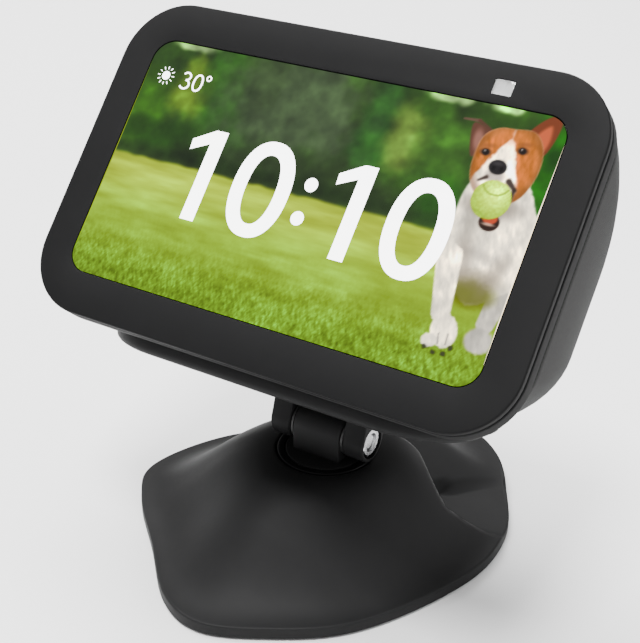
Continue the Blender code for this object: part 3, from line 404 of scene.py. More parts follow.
def loft(loops, ring=False):
    """Skin through loops of as many points each, closed by end faces or round into a ring."""
    bm = bmesh.new()
    rows = [[bm.verts.new(point) for point in loop] for loop in loops]
    count = len(rows[0])
    pairs = list(zip(rows, rows[1:]))
    if ring:
        pairs.append((rows[-1], rows[0]))
    else:
        bm.faces.new(rows[0])
        bm.faces.new(rows[-1][::-1])
    for near, far in pairs:
        for i in range(count):
            j = (i + 1) % count
            bm.faces.new((near[i], near[j], far[j], far[i]))
    return bm


def corner_outline(corners, steps):
    """Closed outline through corners that each have their own radius."""
    points = []
    total = len(corners)
    for i, (x, y, radius) in enumerate(corners):
        here = Vector((x, y))
        before = (Vector(corners[i - 1][:2]) - here).normalized()
        after = (Vector(corners[(i + 1) % total][:2]) - here).normalized()
        half = before.angle(after) / 2.0
        centre = here + (before + after).normalized() * (radius / math.sin(half))
        start = here + before * (radius / math.tan(half)) - centre
        turn = -start.angle_signed(here + after * (radius / math.tan(half)) - centre)
        for k in range(steps + 1):
            points.append(centre + Matrix.Rotation(turn * k / steps, 2) @ start)
    return points


def rectangle(half_width, half_height, radius, steps):
    return corner_outline([(x * half_width, y * half_height, radius)
                           for x, y in ((1, -1), (1, 1), (-1, 1), (-1, -1))], steps)


def smaller(size, inset):
    return tuple(value - inset for value in size)


def rounding(edge, steps):
    """Inset and drop at each step round a quarter circle, from the side to the top."""
    turns = [math.radians(90.0 * k / steps) for k in range(steps + 1)]
    return [(edge * (1.0 - math.cos(turn)), edge * (1.0 - math.sin(turn))) for turn in turns]


def face_loop(half_width, half_height, radius, depth, x=0.0, z=0.0, steps=14):
    return [(x + p.x, depth, z + p.y) for p in rectangle(half_width, half_height, radius, steps)]


def face_plate(half_width, half_height, radius, front, back, x=0.0, z=0.0, edge=0.15, steps=14):
    """Plate across the display frame with a small rounded edge front and back."""
    def at(depth, inset):
        corner = max(radius - inset, 0.05)
        return face_loop(half_width - inset, half_height - inset, corner, depth, x, z, steps)
    return loft((at(front, edge), at(front + edge * 0.3, edge * 0.3), at(front + edge, 0.0),
                 at(back - edge, 0.0), at(back, edge)))


AXIS_TURN = {"X": Matrix.Rotation(math.radians(90.0), 4, 'Y'), "Z": Matrix.Identity(4),
             "Y": Matrix.Rotation(math.radians(-90.0), 4, 'X')}


def turned(profile, axis="Z", centre=(0.0, 0.0, 0.0), steps=64):
    """Turned solid from a closed (radius, height) profile."""
    bm = bmesh.new()
    turns = [2.0 * math.pi * k / steps for k in range(steps)]
    rings = [[bm.verts.new((radius * math.cos(turn), radius * math.sin(turn), height))
              for turn in (turns if radius else turns[:1])] for radius, height in profile]
    for ring, other in zip(rings, rings[1:] + rings[:1]):
        if len(ring) == 1 and len(other) == 1:
            continue
        for k in range(steps):
            j = (k + 1) % steps
            corners = [ring[k % len(ring)], ring[j % len(ring)], other[j % len(other)], other[k % len(other)]]
            bm.faces.new(list(dict.fromkeys(corners)))
    bm.transform(Matrix.Translation(centre) @ AXIS_TURN[axis])
    return bm


def cylinder(radius, low, high, axis="X", centre=(0.0, 0.0, 0.0), steps=48):
    return turned([(0.0, low), (radius, low), (radius, high), (0.0, high)], axis, centre, steps)


def arc(centre, radius, start, end, steps):
    """Points of an arc in (radius, height), angles in degrees."""
    turns = [math.radians(start + (end - start) * k / steps) for k in range(steps + 1)]
    return [(centre[0] + radius * math.cos(turn), centre[1] + radius * math.sin(turn)) for turn in turns]


def smooth_corners(corners, steps=5):
    """Closed smooth curve through a few points."""
    total = len(corners)
    curve = []
    for i in range(total):
        a, b, c, d = (np.array(corners[(i + k) % total], float) for k in (-1, 0, 1, 2))
        for k in range(steps):
            t = k / steps
            point = 0.5 * (2 * b + (c - a) * t + (2 * a - 5 * b + 4 * c - d) * t ** 2
                           + (3 * b - 3 * c + d - a) * t ** 3)
            curve.append((float(point[0]), float(point[1])))
    return curve


# The picture on the screen

def smooth_step(low, high, value):
    t = np.clip((value - low) / (high - low), 0.0, 1.0)
    return t * t * (3.0 - 2.0 * t)


def value_noise(x, z, size_x, size_z, seed):
    """Smooth noise from 0 to 1 on a lattice of cells of the given size."""
    lattice = np.random.RandomState(seed).rand(512, 512)
    u, v = x / size_x + 200.0, z / size_z + 200.0
    i, j = np.floor(u).astype(int), np.floor(v).astype(int)
    s, t = smooth_step(0.0, 1.0, u - i), smooth_step(0.0, 1.0, v - j)
    i, j = i % 511, j % 511
    low = lattice[i, j] * (1.0 - s) + lattice[i + 1, j] * s
    high = lattice[i, j + 1] * (1.0 - s) + lattice[i + 1, j + 1] * s
    return low * (1.0 - t) + high * t


def layered_noise(x, z, size_x, size_z, seed, layers=3):
    total = sum(value_noise(x, z, size_x / 2 ** k, size_z / 2 ** k, seed + k) / 2 ** k for k in range(layers))
    return total / sum(1.0 / 2 ** k for k in range(layers))


def blend(one, two, share):
    one = np.asarray(one)
    return one + (np.asarray(two) - one) * share[..., None]


class Painting:
    """Colours over the screen, painted from back to front with soft-edged shapes."""

    def __init__(self, x, z):
        self.x, self.z = x - PICTURE_SHIFT, z
        self.colour = np.zeros(x.shape + (3,))

    def lay(self, mask, colour):
        colour = np.asarray(colour, float)
        if colour.ndim == 1:
            colour = colour / 255.0
        self.colour += (colour - self.colour) * mask[..., None]

    def ellipse(self, x, z, rx, rz, soft=0.25, turn=0.0):
        c, s = math.cos(math.radians(turn)), math.sin(math.radians(turn))
        u = ((self.x - x) * c + (self.z - z) * s) / rx
        v = (-(self.x - x) * s + (self.z - z) * c) / rz
        return smooth_step(soft, -soft, (np.hypot(u, v) - 1.0) * min(rx, rz))

    def from_line(self, start, end):
        """Share along a line, and distance from it."""
        dx, dz = end[0] - start[0], end[1] - start[1]
        x, z = self.x - start[0], self.z - start[1]
        t = np.clip((x * dx + z * dz) / (dx * dx + dz * dz), 0.0, 1.0)
        return t, np.hypot(x - t * dx, z - t * dz)

    def limb(self, start, end, near, far, soft=0.25):
        """Tapered stroke between two points."""
        t, distance = self.from_line(start, end)
        return smooth_step(soft, -soft, distance - (near + (far - near) * t))

    def patch(self, corners, soft=0.25):
        """Closed shape with a smooth outline through a few points."""
        inside = np.zeros(self.x.shape, bool)
        nearest = np.full(self.x.shape, 1e9)
        curve = smooth_corners(corners)
        for (ax, az), (bx, bz) in zip(curve, curve[1:] + curve[:1]):
            nearest = np.minimum(nearest, self.from_line((ax, az), (bx, bz))[1])
            if bz != az:
                crosses = (az > self.z) != (bz > self.z)
                inside ^= crosses & (self.x < ax + (self.z - az) * (bx - ax) / (bz - az))
        return smooth_step(soft, -soft, np.where(inside, -nearest, nearest))

    def dabs(self, *rows):
        """Ellipses: strength, colour, centre, radii, softness and turn."""
        for strength, colour, *shape in rows:
            self.lay(strength * self.ellipse(*shape), colour)

    def strokes(self, *rows):
        """Tapered strokes: strength, colour, start, end, end radii and softness."""
        for strength, colour, *shape in rows:
            self.lay(strength * self.limb(*shape), colour)


def paint_garden(art):
    """Blurred trees over a lawn that is soft at the back and shows blades at the front."""
    x, z = art.x, art.z
    base = blend((30, 46, 26), (62, 96, 44), layered_noise(x, z, 9.0, 8.0, 11, 4))
    art.lay(np.ones_like(x), base / 255.0)
    for px, pz, rx, rz, colour, strength in (
            (-60, 16, 8, 11, (66, 104, 40), 0.7), (-47, 22, 6, 8, (146, 158, 74), 0.75),
            (-38, 27, 7, 9, (58, 104, 46), 0.7), (-33, 14, 8, 9, (44, 84, 36), 0.6),
            (-12, 24, 22, 17, (74, 80, 76), 0.85), (-24, 30, 5, 8, (64, 76, 60), 0.6),
            (12, 22, 5, 14, (50, 96, 50), 0.65), (21, 22, 6, 8, (140, 150, 92), 0.75),
            (31, 22, 8, 9, (84, 124, 62), 0.7), (36, 9, 6, 7, (36, 84, 30), 0.6),
            (61, 18, 7, 20, (34, 100, 26), 0.85), (-53, 8, 14, 4, (34, 64, 26), 0.7),
            (-5, 5, 34, 6, (40, 50, 36), 0.75), (-20, 2, 45, 3, (26, 40, 22), 0.7)):
        reach = np.hypot((x - px) / rx, (z - pz) / rz)
        edge = 0.55 + 0.9 * layered_noise(x, z, 6.0, 6.0, int(abs(px * 7 + pz)), 3)
        art.lay(strength * smooth_step(edge + 0.45, edge - 0.45, reach), colour)
    for px, rx in ((-52, 8.5), (27, 6.0), (44, 5.5), (33, 3.0)):
        shine = np.hypot((x - px) / rx, (z - 35.6) / 2.6) + 0.35 * (value_noise(x, z, 2.5, 2.5, 5) - 0.5)
        art.lay(0.85 * smooth_step(1.15, 0.6, shine), (208, 210, 202))
    fine = layered_noise(x, z, 3.2, 3.2, 70, 3)
    depth = layered_noise(x, z, 5.5, 5.0, 123, 3)
    art.colour *= ((0.8 + 0.3 * fine) * (0.62 + 0.72 * depth))[..., None] * np.array((1.0, 1.14, 0.84))
    lawn = smooth_step(0.9, -0.5, z - 0.3 + 0.5 * (value_noise(x, z, 3.0, 3.0, 9) - 0.5))
    near = smooth_step(-2.0, -34.0, z)
    tone = blend((172, 190, 92), (110, 148, 30), near)
    tone = blend(tone, (158, 194, 44), 0.35 * np.exp(-((z + 17.0) / 9.0) ** 2)) * np.array((1.07, 1.04, 0.72))
    streaks = layered_noise(x, z, 16.0, 2.6, 21, 4) - 0.5
    clumps = layered_noise(x, z, 5.0, 3.0, 33, 4) - 0.5
    blades = (0.6 * layered_noise(x + 0.35 * z, z, 0.5, 1.3, 44, 3)
              + 0.4 * layered_noise(x - 0.5 * z, z, 0.45, 0.9, 47, 2) - 0.5)
    sharp = (0.12 + 0.85 * smooth_step(-18.0, -33.0, z)) * smooth_step(-8.0, -26.0, z)
    light = 1.0 + 0.3 * streaks + 0.26 * clumps * near + sharp * blades
    art.lay(lawn, np.clip(tone * light[..., None] / 255.0, 0.0, 1.0))
    art.lay(0.12 * smooth_step(2.5, 0.0, np.abs(z - 0.3)), (120, 140, 70))


def paint_body(art, white):
    """Torso, legs and paws, with ragged edges."""
    art.strokes((1.0, white * 0.92, (60.0, -8.0), (58.4, -19.0), 3.3, 2.3))
    art.dabs((1.0, white * 0.86, 58.2, -23.2, 3.7, 3.2, 0.5))
    torso = ((41.6, 14), (40.7, 6), (41.2, -3), (43.6, -8.5), (47.5, -12.6), (52, -15.6), (56.5, -13.6),
             (60.5, -10.5), (64, -9), (64, 6), (61, 10), (58.2, 15), (54, 19), (46, 19))
    art.lay(art.patch(torso, 0.4), white)
    art.dabs(
        (0.85, (104, 108, 30), 51.8, -12.6, 6.2, 3.4, 1.4),
        (0.5, (146, 136, 112), 51.2, -9.0, 6.4, 2.2, 1.6),
        (0.35, (150, 144, 134), 46.0, 1.5, 2.0, 6.5, 1.6, 8),
        (0.4, (150, 140, 126), 56.0, -7.5, 2.0, 5.5, 1.6, -20),
        (0.35, (160, 150, 138), 47.0, -5.0, 2.4, 5.0, 1.6, 15),
        (0.3, (170, 164, 156), 51.5, -3.0, 4.5, 1.2, 1.0, -8))
    art.strokes((1.0, white, (43.6, -5.0), (46.6, -19.0), 3.4, 2.5))
    art.dabs((1.0, white, 49.0, -23.0, 3.5, 4.4, 0.3, 25), (1.0, white * 0.95, 46.2, -26.2, 2.2, 1.8, 0.3))
    for px, pz in ((45.6, -28.0), (48.2, -28.8), (50.8, -28.6), (52.2, -26.6)):
        art.dabs((0.8, (44, 44, 36), px, pz, 0.7, 0.6, 0.3))
    art.strokes((0.5, (120, 114, 108), (48.6, -26.5), (48.0, -24.0), 0.2, 0.15, 0.2),
                (0.5, (120, 114, 108), (50.6, -26.0), (50.4, -23.6), 0.2, 0.15, 0.2))


def paint_head(art, white, tan):
    """Ears and head, with a white blaze between tan sides."""
    x, z = art.x, art.z
    left_ear = ((37.0, 29.4), (40.0, 29.3), (43.0, 27.6), (41.6, 23.6), (39.6, 20.8), (38.0, 24.0))
    art.lay(art.patch(left_ear), (104, 66, 52))
    art.dabs((0.75, (176, 134, 122), 39.8, 25.4, 1.3, 2.8, 0.7, 12))
    art.strokes((1.0, (112, 84, 70), (34.2, 30.2), (38.4, 30.4), 0.25, 0.45),
                (1.0, (96, 62, 48), (38.4, 30.4), (42.6, 28.4), 0.45, 0.3))
    right_ear = ((51.8, 29.0), (54.0, 33.0), (57.2, 35.4), (59.4, 34.6), (59.0, 29.0), (57.4, 24.6),
                 (55.0, 25.0))
    art.lay(art.patch(right_ear), (128, 66, 42))
    ear_lining = ((54.2, 29.6), (57.0, 32.6), (57.8, 29.0), (57.0, 25.8), (55.2, 27.0))
    art.lay(0.8 * art.patch(ear_lining, 0.6), (206, 126, 92))
    head = art.patch(((40.8, 26.5), (40.2, 20.5), (41.2, 15.6), (43.6, 12.2), (49.2, 9.6), (54.6, 12.2),
                      (57.0, 16.5), (57.8, 22), (56.6, 27), (53.4, 30.2), (48.4, 30.0), (44, 29.4)), 0.3)
    art.dabs((0.5, (112, 100, 88), 49.5, 9.5, 6.6, 2.6, 1.6))
    art.lay(head, np.clip(white * 1.04, 0.0, 1.0))
    half = 0.2 + 6.2 * np.clip((27.5 - z) / 13.0, 0.0, 1.0) ** 0.8
    off = np.abs(x - 47.9 - 0.06 * (z - 20.0)) - half + 0.5 * (value_noise(x, z, 0.8, 0.8, 91) - 0.5)
    art.lay(head * smooth_step(-0.5, 0.5, off), tan)
    rim = smooth_step(-1.6, 0.4, np.hypot((x - 49) / 8.6, (z - 21) / 9.6) * 8 - 8)
    art.lay(0.45 * head * rim, (122, 78, 44))
    art.lay(0.4 * head * art.ellipse(47.6, 28.6, 6.5, 2.0, 1.8), (214, 156, 96))


def paint_face(art):
    for px, pz in ((42.8, 22.8), (52.0, 24.9)):
        art.dabs(
            (0.5, (140, 84, 50), px + 0.2, pz + 1.7, 1.7, 0.6, 0.5, 10),
            (0.8, (84, 50, 38), px, pz, 1.5, 1.0, 0.4),
            (1.0, (26, 18, 16), px, pz, 0.95, 0.85, 0.2),
            (0.8, (214, 208, 204), px - 0.25, pz + 0.3, 0.25, 0.22, 0.15))
    art.dabs(
        (0.5, (170, 160, 154), 47.3, 17.2, 2.4, 1.6, 0.8),
        (1.0, (30, 27, 29), 47.3, 19.6, 2.4, 1.95, 0.3),
        (0.35, (110, 106, 108), 47.0, 20.5, 1.3, 0.5, 0.4),
        (0.8, (8, 7, 8), 46.3, 19.2, 0.45, 0.6, 0.2),
        (0.8, (8, 7, 8), 48.4, 19.2, 0.45, 0.6, 0.2))
    art.strokes(
        (0.9, (58, 42, 36), (43.6, 15.4), (45.4, 16.6), 0.25, 0.5, 0.4),
        (0.9, (58, 42, 36), (51.4, 16.6), (53.6, 14.8), 0.8, 0.5, 0.4),
        (0.9, (58, 42, 36), (53.4, 14.8), (53.4, 12.2), 0.5, 0.3, 0.4))
    art.dabs(
        (1.0, (46, 24, 18), 50.2, 5.6, 2.7, 2.3),
        (1.0, (188, 92, 66), 50.1, 6.6, 2.0, 1.5, 0.3),
        (0.8, (226, 206, 190), 50.1, 5.0, 1.6, 0.35))


def paint_ball(art):
    x, z = art.x, art.z
    ball = art.ellipse(48.6, 11.2, 5.15, 5.05, 0.2)
    light = np.clip(1.05 - np.hypot(x - 49.6, z - 13.2) / 9.0, 0.0, 1.0)
    felt = blend((150, 176, 10), (232, 242, 60), light) / 255.0
    art.lay(ball, np.clip(felt * (0.96 + 0.08 * value_noise(x, z, 0.5, 0.5, 13))[..., None], 0.0, 0.95))
    upper = np.abs(np.hypot((x - 48.8) / 1.15, z - 15.6) - 3.1)
    art.lay(0.55 * ball * smooth_step(0.4, 0.1, upper) * (z < 14.6), (150, 176, 54))
    lower = np.abs(np.hypot(x - 45.6, z - 4.6) - 3.2)
    art.lay(0.4 * ball * smooth_step(0.4, 0.1, lower), (150, 176, 54))


def paint_dog(art):
    """Small white and tan dog trotting forward with a ball in its mouth."""
    x, z = art.x, art.z
    fur = (layered_noise(x + 0.3 * z, z, 0.9, 2.4, 51, 3) - 0.5)[..., None]
    patchy = (layered_noise(x, z, 5.0, 6.0, 61, 3) - 0.5)[..., None] * 50
    white = np.clip((np.array((226, 223, 216)) + fur * 34 + patchy) / 255.0, 0.0, 1.0)
    tan = np.clip((np.array((188, 126, 64)) + fur * 60 + patchy) / 255.0, 0.0, 1.0)
    art.z = z + 0.5 * (value_noise(x, z, 0.7, 0.7, 77) - 0.5)
    paint_body(art, white)
    art.z = z
    paint_head(art, white, tan)
    paint_face(art)
    paint_ball(art)


def screen_light(colour):
    """Light that shows as the given colours, a little more saturated, under the view's own tone curve."""
    linear = 0.29 * colour ** 1.41 / (1.0 - np.minimum(colour, 0.95))
    return np.maximum(linear * 1.16 - linear.mean(1, keepdims=True) * 0.16, 0.0)


def build_picture():
    """Sheet of small cells over the touch screen whose colours are the picture that it shows."""
    half_width, half_height, radius = smaller(SCREEN, SCREEN_GAP)
    columns, rows = (int(round(2.0 * half / PICTURE_STEP)) + 1 for half in (half_width, half_height))
    x, z = np.meshgrid(np.linspace(-half_width, half_width, columns),
                       np.linspace(-half_height, half_height, rows))
    art = Painting(x, z)
    paint_garden(art)
    paint_dog(art)
    corner_x = np.maximum(np.abs(x) - (half_width - radius), 0.0)
    corner_z = np.maximum(np.abs(z) - (half_height - radius), 0.0)
    reach = np.hypot(corner_x, corner_z)
    outside = reach > radius
    pull = radius / np.maximum(reach, radius)
    flat_x = np.where(outside, np.sign(x) * (half_width - radius + corner_x * pull), x)
    flat_z = np.where(outside, np.sign(z) * (half_height - radius + corner_z * pull), z)
    index = np.arange(rows * columns).reshape(rows, columns)
    cells = np.stack([index[:-1, :-1], index[:-1, 1:], index[1:, 1:], index[1:, :-1]], -1).reshape(-1, 4)
    cells = cells[~outside.ravel()[cells].all(1)]
    used, cells = np.unique(cells, return_inverse=True)
    points = np.stack([flat_x.ravel()[used], np.full(len(used), PICTURE_DEPTH), flat_z.ravel()[used]], -1)
    mesh = bpy.data.meshes.new("screen_picture")
    mesh.from_pydata([tuple(DISPLAY @ Vector(p)) for p in points.tolist()], [], cells.reshape(-1, 4).tolist())
    light = screen_light(np.clip(art.colour.reshape(-1, 3)[used], 0.0, 1.0))
    layer = mesh.color_attributes.new("picture", 'FLOAT_COLOR', 'POINT')
    layer.data.foreach_set("color", np.concatenate([light, np.ones((len(used), 1))], 1).ravel())
    mesh.materials.append(LOOKS["picture"])
    piece = add_object("screen_picture", mesh)
    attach(piece, "display")


def flat_shape(outline, hole=None):
    """Thin flat figure just in front of the picture, with an optional hole of as many points."""
    def at(shape, depth):
        return [(x, depth, z) for x, z in shape]
    if hole:
        return loft([at(outline, FIGURE_BACK), at(outline, FIGURE_FRONT), at(hole, FIGURE_FRONT),
                     at(hole, FIGURE_BACK)], ring=True)
    return loft([at(outline, FIGURE_FRONT), at(outline, FIGURE_BACK)])


def oval(x, z, rx, rz, power=2.0, steps=64):
    points = []
    for k in range(steps):
        c, s = math.cos(2.0 * math.pi * k / steps), math.sin(2.0 * math.pi * k / steps)
        points.append((x + rx * math.copysign(abs(c) ** (2.0 / power), c),
                       z + rz * math.copysign(abs(s) ** (2.0 / power), s)))
    return points


def stroke(points, width):
    """Closed outline of a line of even width with square ends."""
    left, right = [], []
    for i, (x, z) in enumerate(points):
        ahead, behind = points[min(i + 1, len(points) - 1)], points[max(i - 1, 0)]
        dx, dz = ahead[0] - behind[0], ahead[1] - behind[1]
        share = width / 2.0 / math.hypot(dx, dz)
        left.append((x - dz * share, z + dx * share))
        right.append((x + dz * share, z - dx * share))
    return left + right[::-1]


def bow(x, z, rx, rz, start, end):
    """Part of an ellipse in steps of 20 degrees, drawn clockwise."""
    return [(x + rx * math.cos(math.radians(a)), z + rz * math.sin(math.radians(a)))
            for a in range(start, end - 1, -20)]


def build_figures():
    """Clock digits, sun sign and temperature, all white."""
    shapes = []
    one = ((-30.1, 12.5), (-33.9, 12.5), (-40.4, 8.8), (-40.2, 5.7), (-34.5, 8.4), (-34.8, -13.6),
           (-30.4, -13.6))
    for start in (0.0, 46.9):
        x = start + PICTURE_SHIFT
        shapes.append(([(x + px, pz) for px, pz in one],))
        shapes.append((oval(x - 14.1, -0.45, 8.85, 13.6, 2.25), oval(x - 14.15, -0.5, 4.6, 9.8, 2.25)))
    for px, pz in ((-0.1, 4.0), (-0.4, -5.5)):
        shapes.append((oval(px + PICTURE_SHIFT, pz, 1.9, 1.95),))
    sun_x, sun_z = -57.4 + PICTURE_SHIFT, 24.8
    shapes.append((oval(sun_x, sun_z, 1.3, 1.3),))
    for k in range(12):
        c, s = math.cos(math.radians(30.0 * k)), math.sin(math.radians(30.0 * k))
        shapes.append((stroke([(sun_x + c * reach, sun_z + s * reach) for reach in (1.95, 2.75)], 0.2),))
    three_x = -50.4 + PICTURE_SHIFT
    for line in (bow(three_x, 25.8, 1.25, 1.1, 150, -90), bow(three_x, 23.4, 1.5, 1.3, 90, -150)):
        shapes.append((stroke(line, 0.5),))
    zero_x = -46.2 + PICTURE_SHIFT
    shapes.append((oval(zero_x, 24.5, 1.65, 2.6, 2.2), oval(zero_x, 24.5, 1.12, 2.1, 2.2)))
    shapes.append((oval(zero_x + 3.1, 26.4, 0.85, 0.85), oval(zero_x + 3.1, 26.4, 0.52, 0.52)))
    figures = joined([flat_shape(*shape) for shape in shapes])
    add_piece("screen_figures", figures, DISPLAY, "figures", "display", None)


# Display pieces

def rounded_edge(size, edge, outward=True, steps=5):
    """Loops that turn the front corner of a plate from its side to its face."""
    side = 1.0 if outward else -1.0
    return [face_loop(*smaller(size, side * inset), depth) for inset, depth in rounding(edge, steps)]


def build_front():
    loops = [face_loop(*smaller(FACE, 0.15), BEZEL_THICKNESS), face_loop(*FACE, BEZEL_THICKNESS - 0.15)]
    loops += rounded_edge(FACE, 0.55)
    loops += rounded_edge(SCREEN, 0.12, outward=False, steps=3)[::-1]
    loops.append(face_loop(*SCREEN, BEZEL_THICKNESS))
    bezel = add_piece("face_bezel", loft(loops, ring=True), DISPLAY, "bezel", "display", "front_bezel",
                      60.0)
    cut_by(bezel, face_plate(2.85, 2.2, 0.45, -1.0, 3.0, CAMERA_X, CAMERA_Z, 0.01, 6), DISPLAY)
    recess = face_plate(7.2, 4.4, 0.4, 0.65, 3.0, CAMERA_X + TRAVEL_MIDDLE, CAMERA_Z + 1.2, 0.01, 4)
    cut_by(bezel, recess, DISPLAY)
    glass = face_plate(*smaller(SCREEN, SCREEN_GAP), GLASS_FRONT, BEZEL_THICKNESS)
    add_piece("screen_glass", glass, DISPLAY, "glass", "display", "touch_screen")
    window = face_plate(2.7, 2.05, 0.35, 0.05, 0.55, CAMERA_X, CAMERA_Z, 0.06, 6)
    add_piece("camera_lens_window", window, DISPLAY, "clear", "display", "camera_window")


def build_rim():
    sunk = smaller(FACE, CREASE_WIDTH)
    loops = [face_loop(*sunk, RIM_FRONT), face_loop(*sunk, 3.0)]
    loops += [face_loop(*smaller(FACE, inset), 3.1 + back) for back, inset in rounding(0.5, 5)]
    loops += [face_loop(*FACE, FRAME_BACK - 0.2), face_loop(*smaller(FACE, 0.2), FRAME_BACK),
              face_loop(*RIM_OPENING, FRAME_BACK), face_loop(*RIM_OPENING, RIM_FRONT)]
    rim = add_piece("face_rim", loft(loops, ring=True), DISPLAY, "rim", "display", "front_frame", 60.0)
    middle = CAMERA_X + TRAVEL_MIDDLE
    cut_by(rim, face_plate(3.8, 3.8, 0.4, 0.0, 8.0, CAMERA_X, CAMERA_Z, 0.01, 4), DISPLAY)
    cut_by(rim, face_plate(TRAVEL_HALF, 0.95, 0.3, 0.0, 6.0, middle, CAMERA_Z + 4.45, 0.01, 4), DISPLAY)
    cut_by(rim, face_plate(TRAVEL_HALF, 2.25, 0.3, 3.8, 6.0, middle, CAMERA_Z + 5.75, 0.01, 4), DISPLAY)


def build_shutter():
    """White blade with an arm over the top that ends in a ribbed knob."""
    blade = face_plate(3.15, 2.8, 0.4, SHUTTER_FRONT, SHUTTER_BACK, CAMERA_X, CAMERA_Z, 0.05, 6)
    body = add_piece("privacy_shutter", blade, DISPLAY, "shutter", "shutter", "camera_shutter")
    for rise, edge, steps, *size in (
            (3.45, 0.02, 4, 1.5, 1.45, 0.2, SHUTTER_FRONT, SHUTTER_BACK),
            (4.4, 0.02, 4, 1.5, 0.5, 0.2, SHUTTER_FRONT, 5.5),
            (5.8, 0.02, 4, 1.5, 1.9, 0.2, 4.2, 5.5),
            (7.85, 0.2, 6, 2.5, 0.55, 0.3, 3.5, 6.2)):
        cut_by(body, face_plate(*size, CAMERA_X, CAMERA_Z + rise, edge, steps), DISPLAY, 'UNION')
    ribs = [face_plate(0.16, 0.12, 0.08, 3.7, 6.0, CAMERA_X - 1.6 + 0.8 * k, CAMERA_Z + 8.42, 0.04, 3)
            for k in range(5)]
    add_piece("privacy_shutter_ribs", joined(ribs), DISPLAY, "shutter", "shutter", None)


def reach_back(inset):
    return HOUSING_DEPTH - 1.4 * inset


def housing_half_width(depth, inset=0.0):
    share = min((depth / reach_back(inset)) ** HOUSING_POWER, 1.0)
    return (FACE[0] - inset) * (1.0 - share) ** (1.0 / HOUSING_POWER)


def underside(depth, inset=0.0):
    return -FACE_HEIGHT / 2.0 + depth * math.tan(BASE_LEAN) + inset / math.cos(BASE_LEAN)


def top_side(depth, inset=0.0):
    start = FACE_HEIGHT / 2.0 - inset
    end = reach_back(inset)
    return start - (start - underside(end, inset)) * (depth / end) ** 2


def middle_height(depth, inset=0.0):
    return (top_side(depth, inset) + underside(depth, inset)) / 2.0


def cloth_loop(depth, inset=0.0, steps=12):
    """Rounded rectangle with extra points along its straight sides."""
    half_width = housing_half_width(depth, inset)
    half_height = (top_side(depth, inset) - underside(depth, inset)) / 2.0
    radius = min(FACE[2] - inset, half_height * 0.96, half_width * 0.96)
    loop = [Vector(p) for p in
            face_loop(half_width, half_height, radius, depth, 0.0, middle_height(depth, inset), steps)]
    dense = []
    for i, (point, following) in enumerate(zip(loop, loop[1:] + loop[:1])):
        dense.append(point)
        if i % (steps + 1) == steps:
            dense += [point.lerp(following, k / 10.0) for k in range(1, 10)]
    return dense


def cloth_skin(inset, steps):
    """Loops from the hem to the back, closer together where the cloth turns in."""
    end = reach_back(inset)
    start = math.asin((FRAME_BACK + 0.3) / end)
    return [cloth_loop(end * math.sin(start + (math.asin(HOUSING_END) - start) * k / steps), inset)
            for k in range(steps + 1)]


def button_place(x):
    level = top_side(BUTTON_SETBACK)
    slope = math.atan2(top_side(BUTTON_SETBACK + 1.0) - level, 1.0)
    return DISPLAY @ Matrix.Translation((x, BUTTON_SETBACK, level)) @ Matrix.Rotation(slope, 4, 'X')


def build_cloth():
    """Knitted cover over the housing, drawn in at its hem, with a thread map in millimetres."""
    outer = cloth_skin(0.0, 44)
    front = FRAME_BACK + 0.3
    centre = Vector((0.0, front, middle_height(front)))
    hem = [[centre + (p - centre) * (1.0 - inset / max((p - centre).length, 1.0)) + Vector((0.0, back, 0.0))
            for p in outer[0]] for inset, back in ((0.45, 0.0), (0.18, 0.12), (0.0, 0.45))]
    last = outer[-1]
    centre = sum(last, Vector()) / len(last)
    caps = [[centre + (p - centre) * share + Vector((0.0, 0.25 * (1.0 - share ** 2), 0.0)) for p in last]
            for share in (0.02, 0.5, 0.85)]
    skin = caps + (hem + outer[1:])[::-1]
    bm = bmesh.new()
    layer = bm.loops.layers.uv.new("threads")
    rows = [[bm.verts.new(p) for p in loop] for loop in skin + cloth_skin(CLOTH_THICKNESS, 20)]
    count = len(rows[0])
    bm.faces.new(rows[0])
    bm.faces.new(rows[-1][::-1])
    widest = skin[-6]
    around = [0.0]
    for i in range(count):
        around.append(around[-1] + (widest[(i + 1) % count] - widest[i]).length)
    along = 0.0
    for near, far in zip(rows, rows[1:]):
        step = sum((a.co - b.co).length for a, b in zip(near, far)) / count
        for i in range(count):
            j = (i + 1) % count
            face = bm.faces.new((near[i], near[j], far[j], far[i]))
            places = ((i, along), (i + 1, along), (i + 1, along + step), (i, along + step))
            for corner, (place, length) in zip(face.loops, places):
                corner[layer].uv = (around[place], length)
        along += step
    cloth = add_piece("cloth_cover", bm, DISPLAY, "cloth", "display", "fabric_cover", 60.0)
    for x in BUTTON_PLACES.values():
        cut_by(cloth, upright_plate(5.3, 2.8, 2.7, -6.0, 4.0), button_place(x))
    cut_by(cloth, cylinder(JACK_RADIUS + 0.6, 44.0, 72.0, "Y", jack_centre(), 64), DISPLAY)


def jack_centre():
    return (JACK_X, 0.0, middle_height(JACK_MOUTH))


def upright_plate(half_length, half_width, radius, low, high, edge=0.0):
    """Stadium standing along Z, with a rounded upper edge."""
    def at(height, inset):
        outline = rectangle(half_length - inset, half_width - inset, radius - inset, 8)
        return [(*p, height) for p in outline]
    loops = [at(low, 0.0)]
    if edge:
        loops += [at(high - drop, inset) for inset, drop in rounding(edge, 4)]
        loops.append(at(high - 0.12, half_width * 0.6))
    else:
        loops.append(at(high, 0.0))
    return loft(loops)


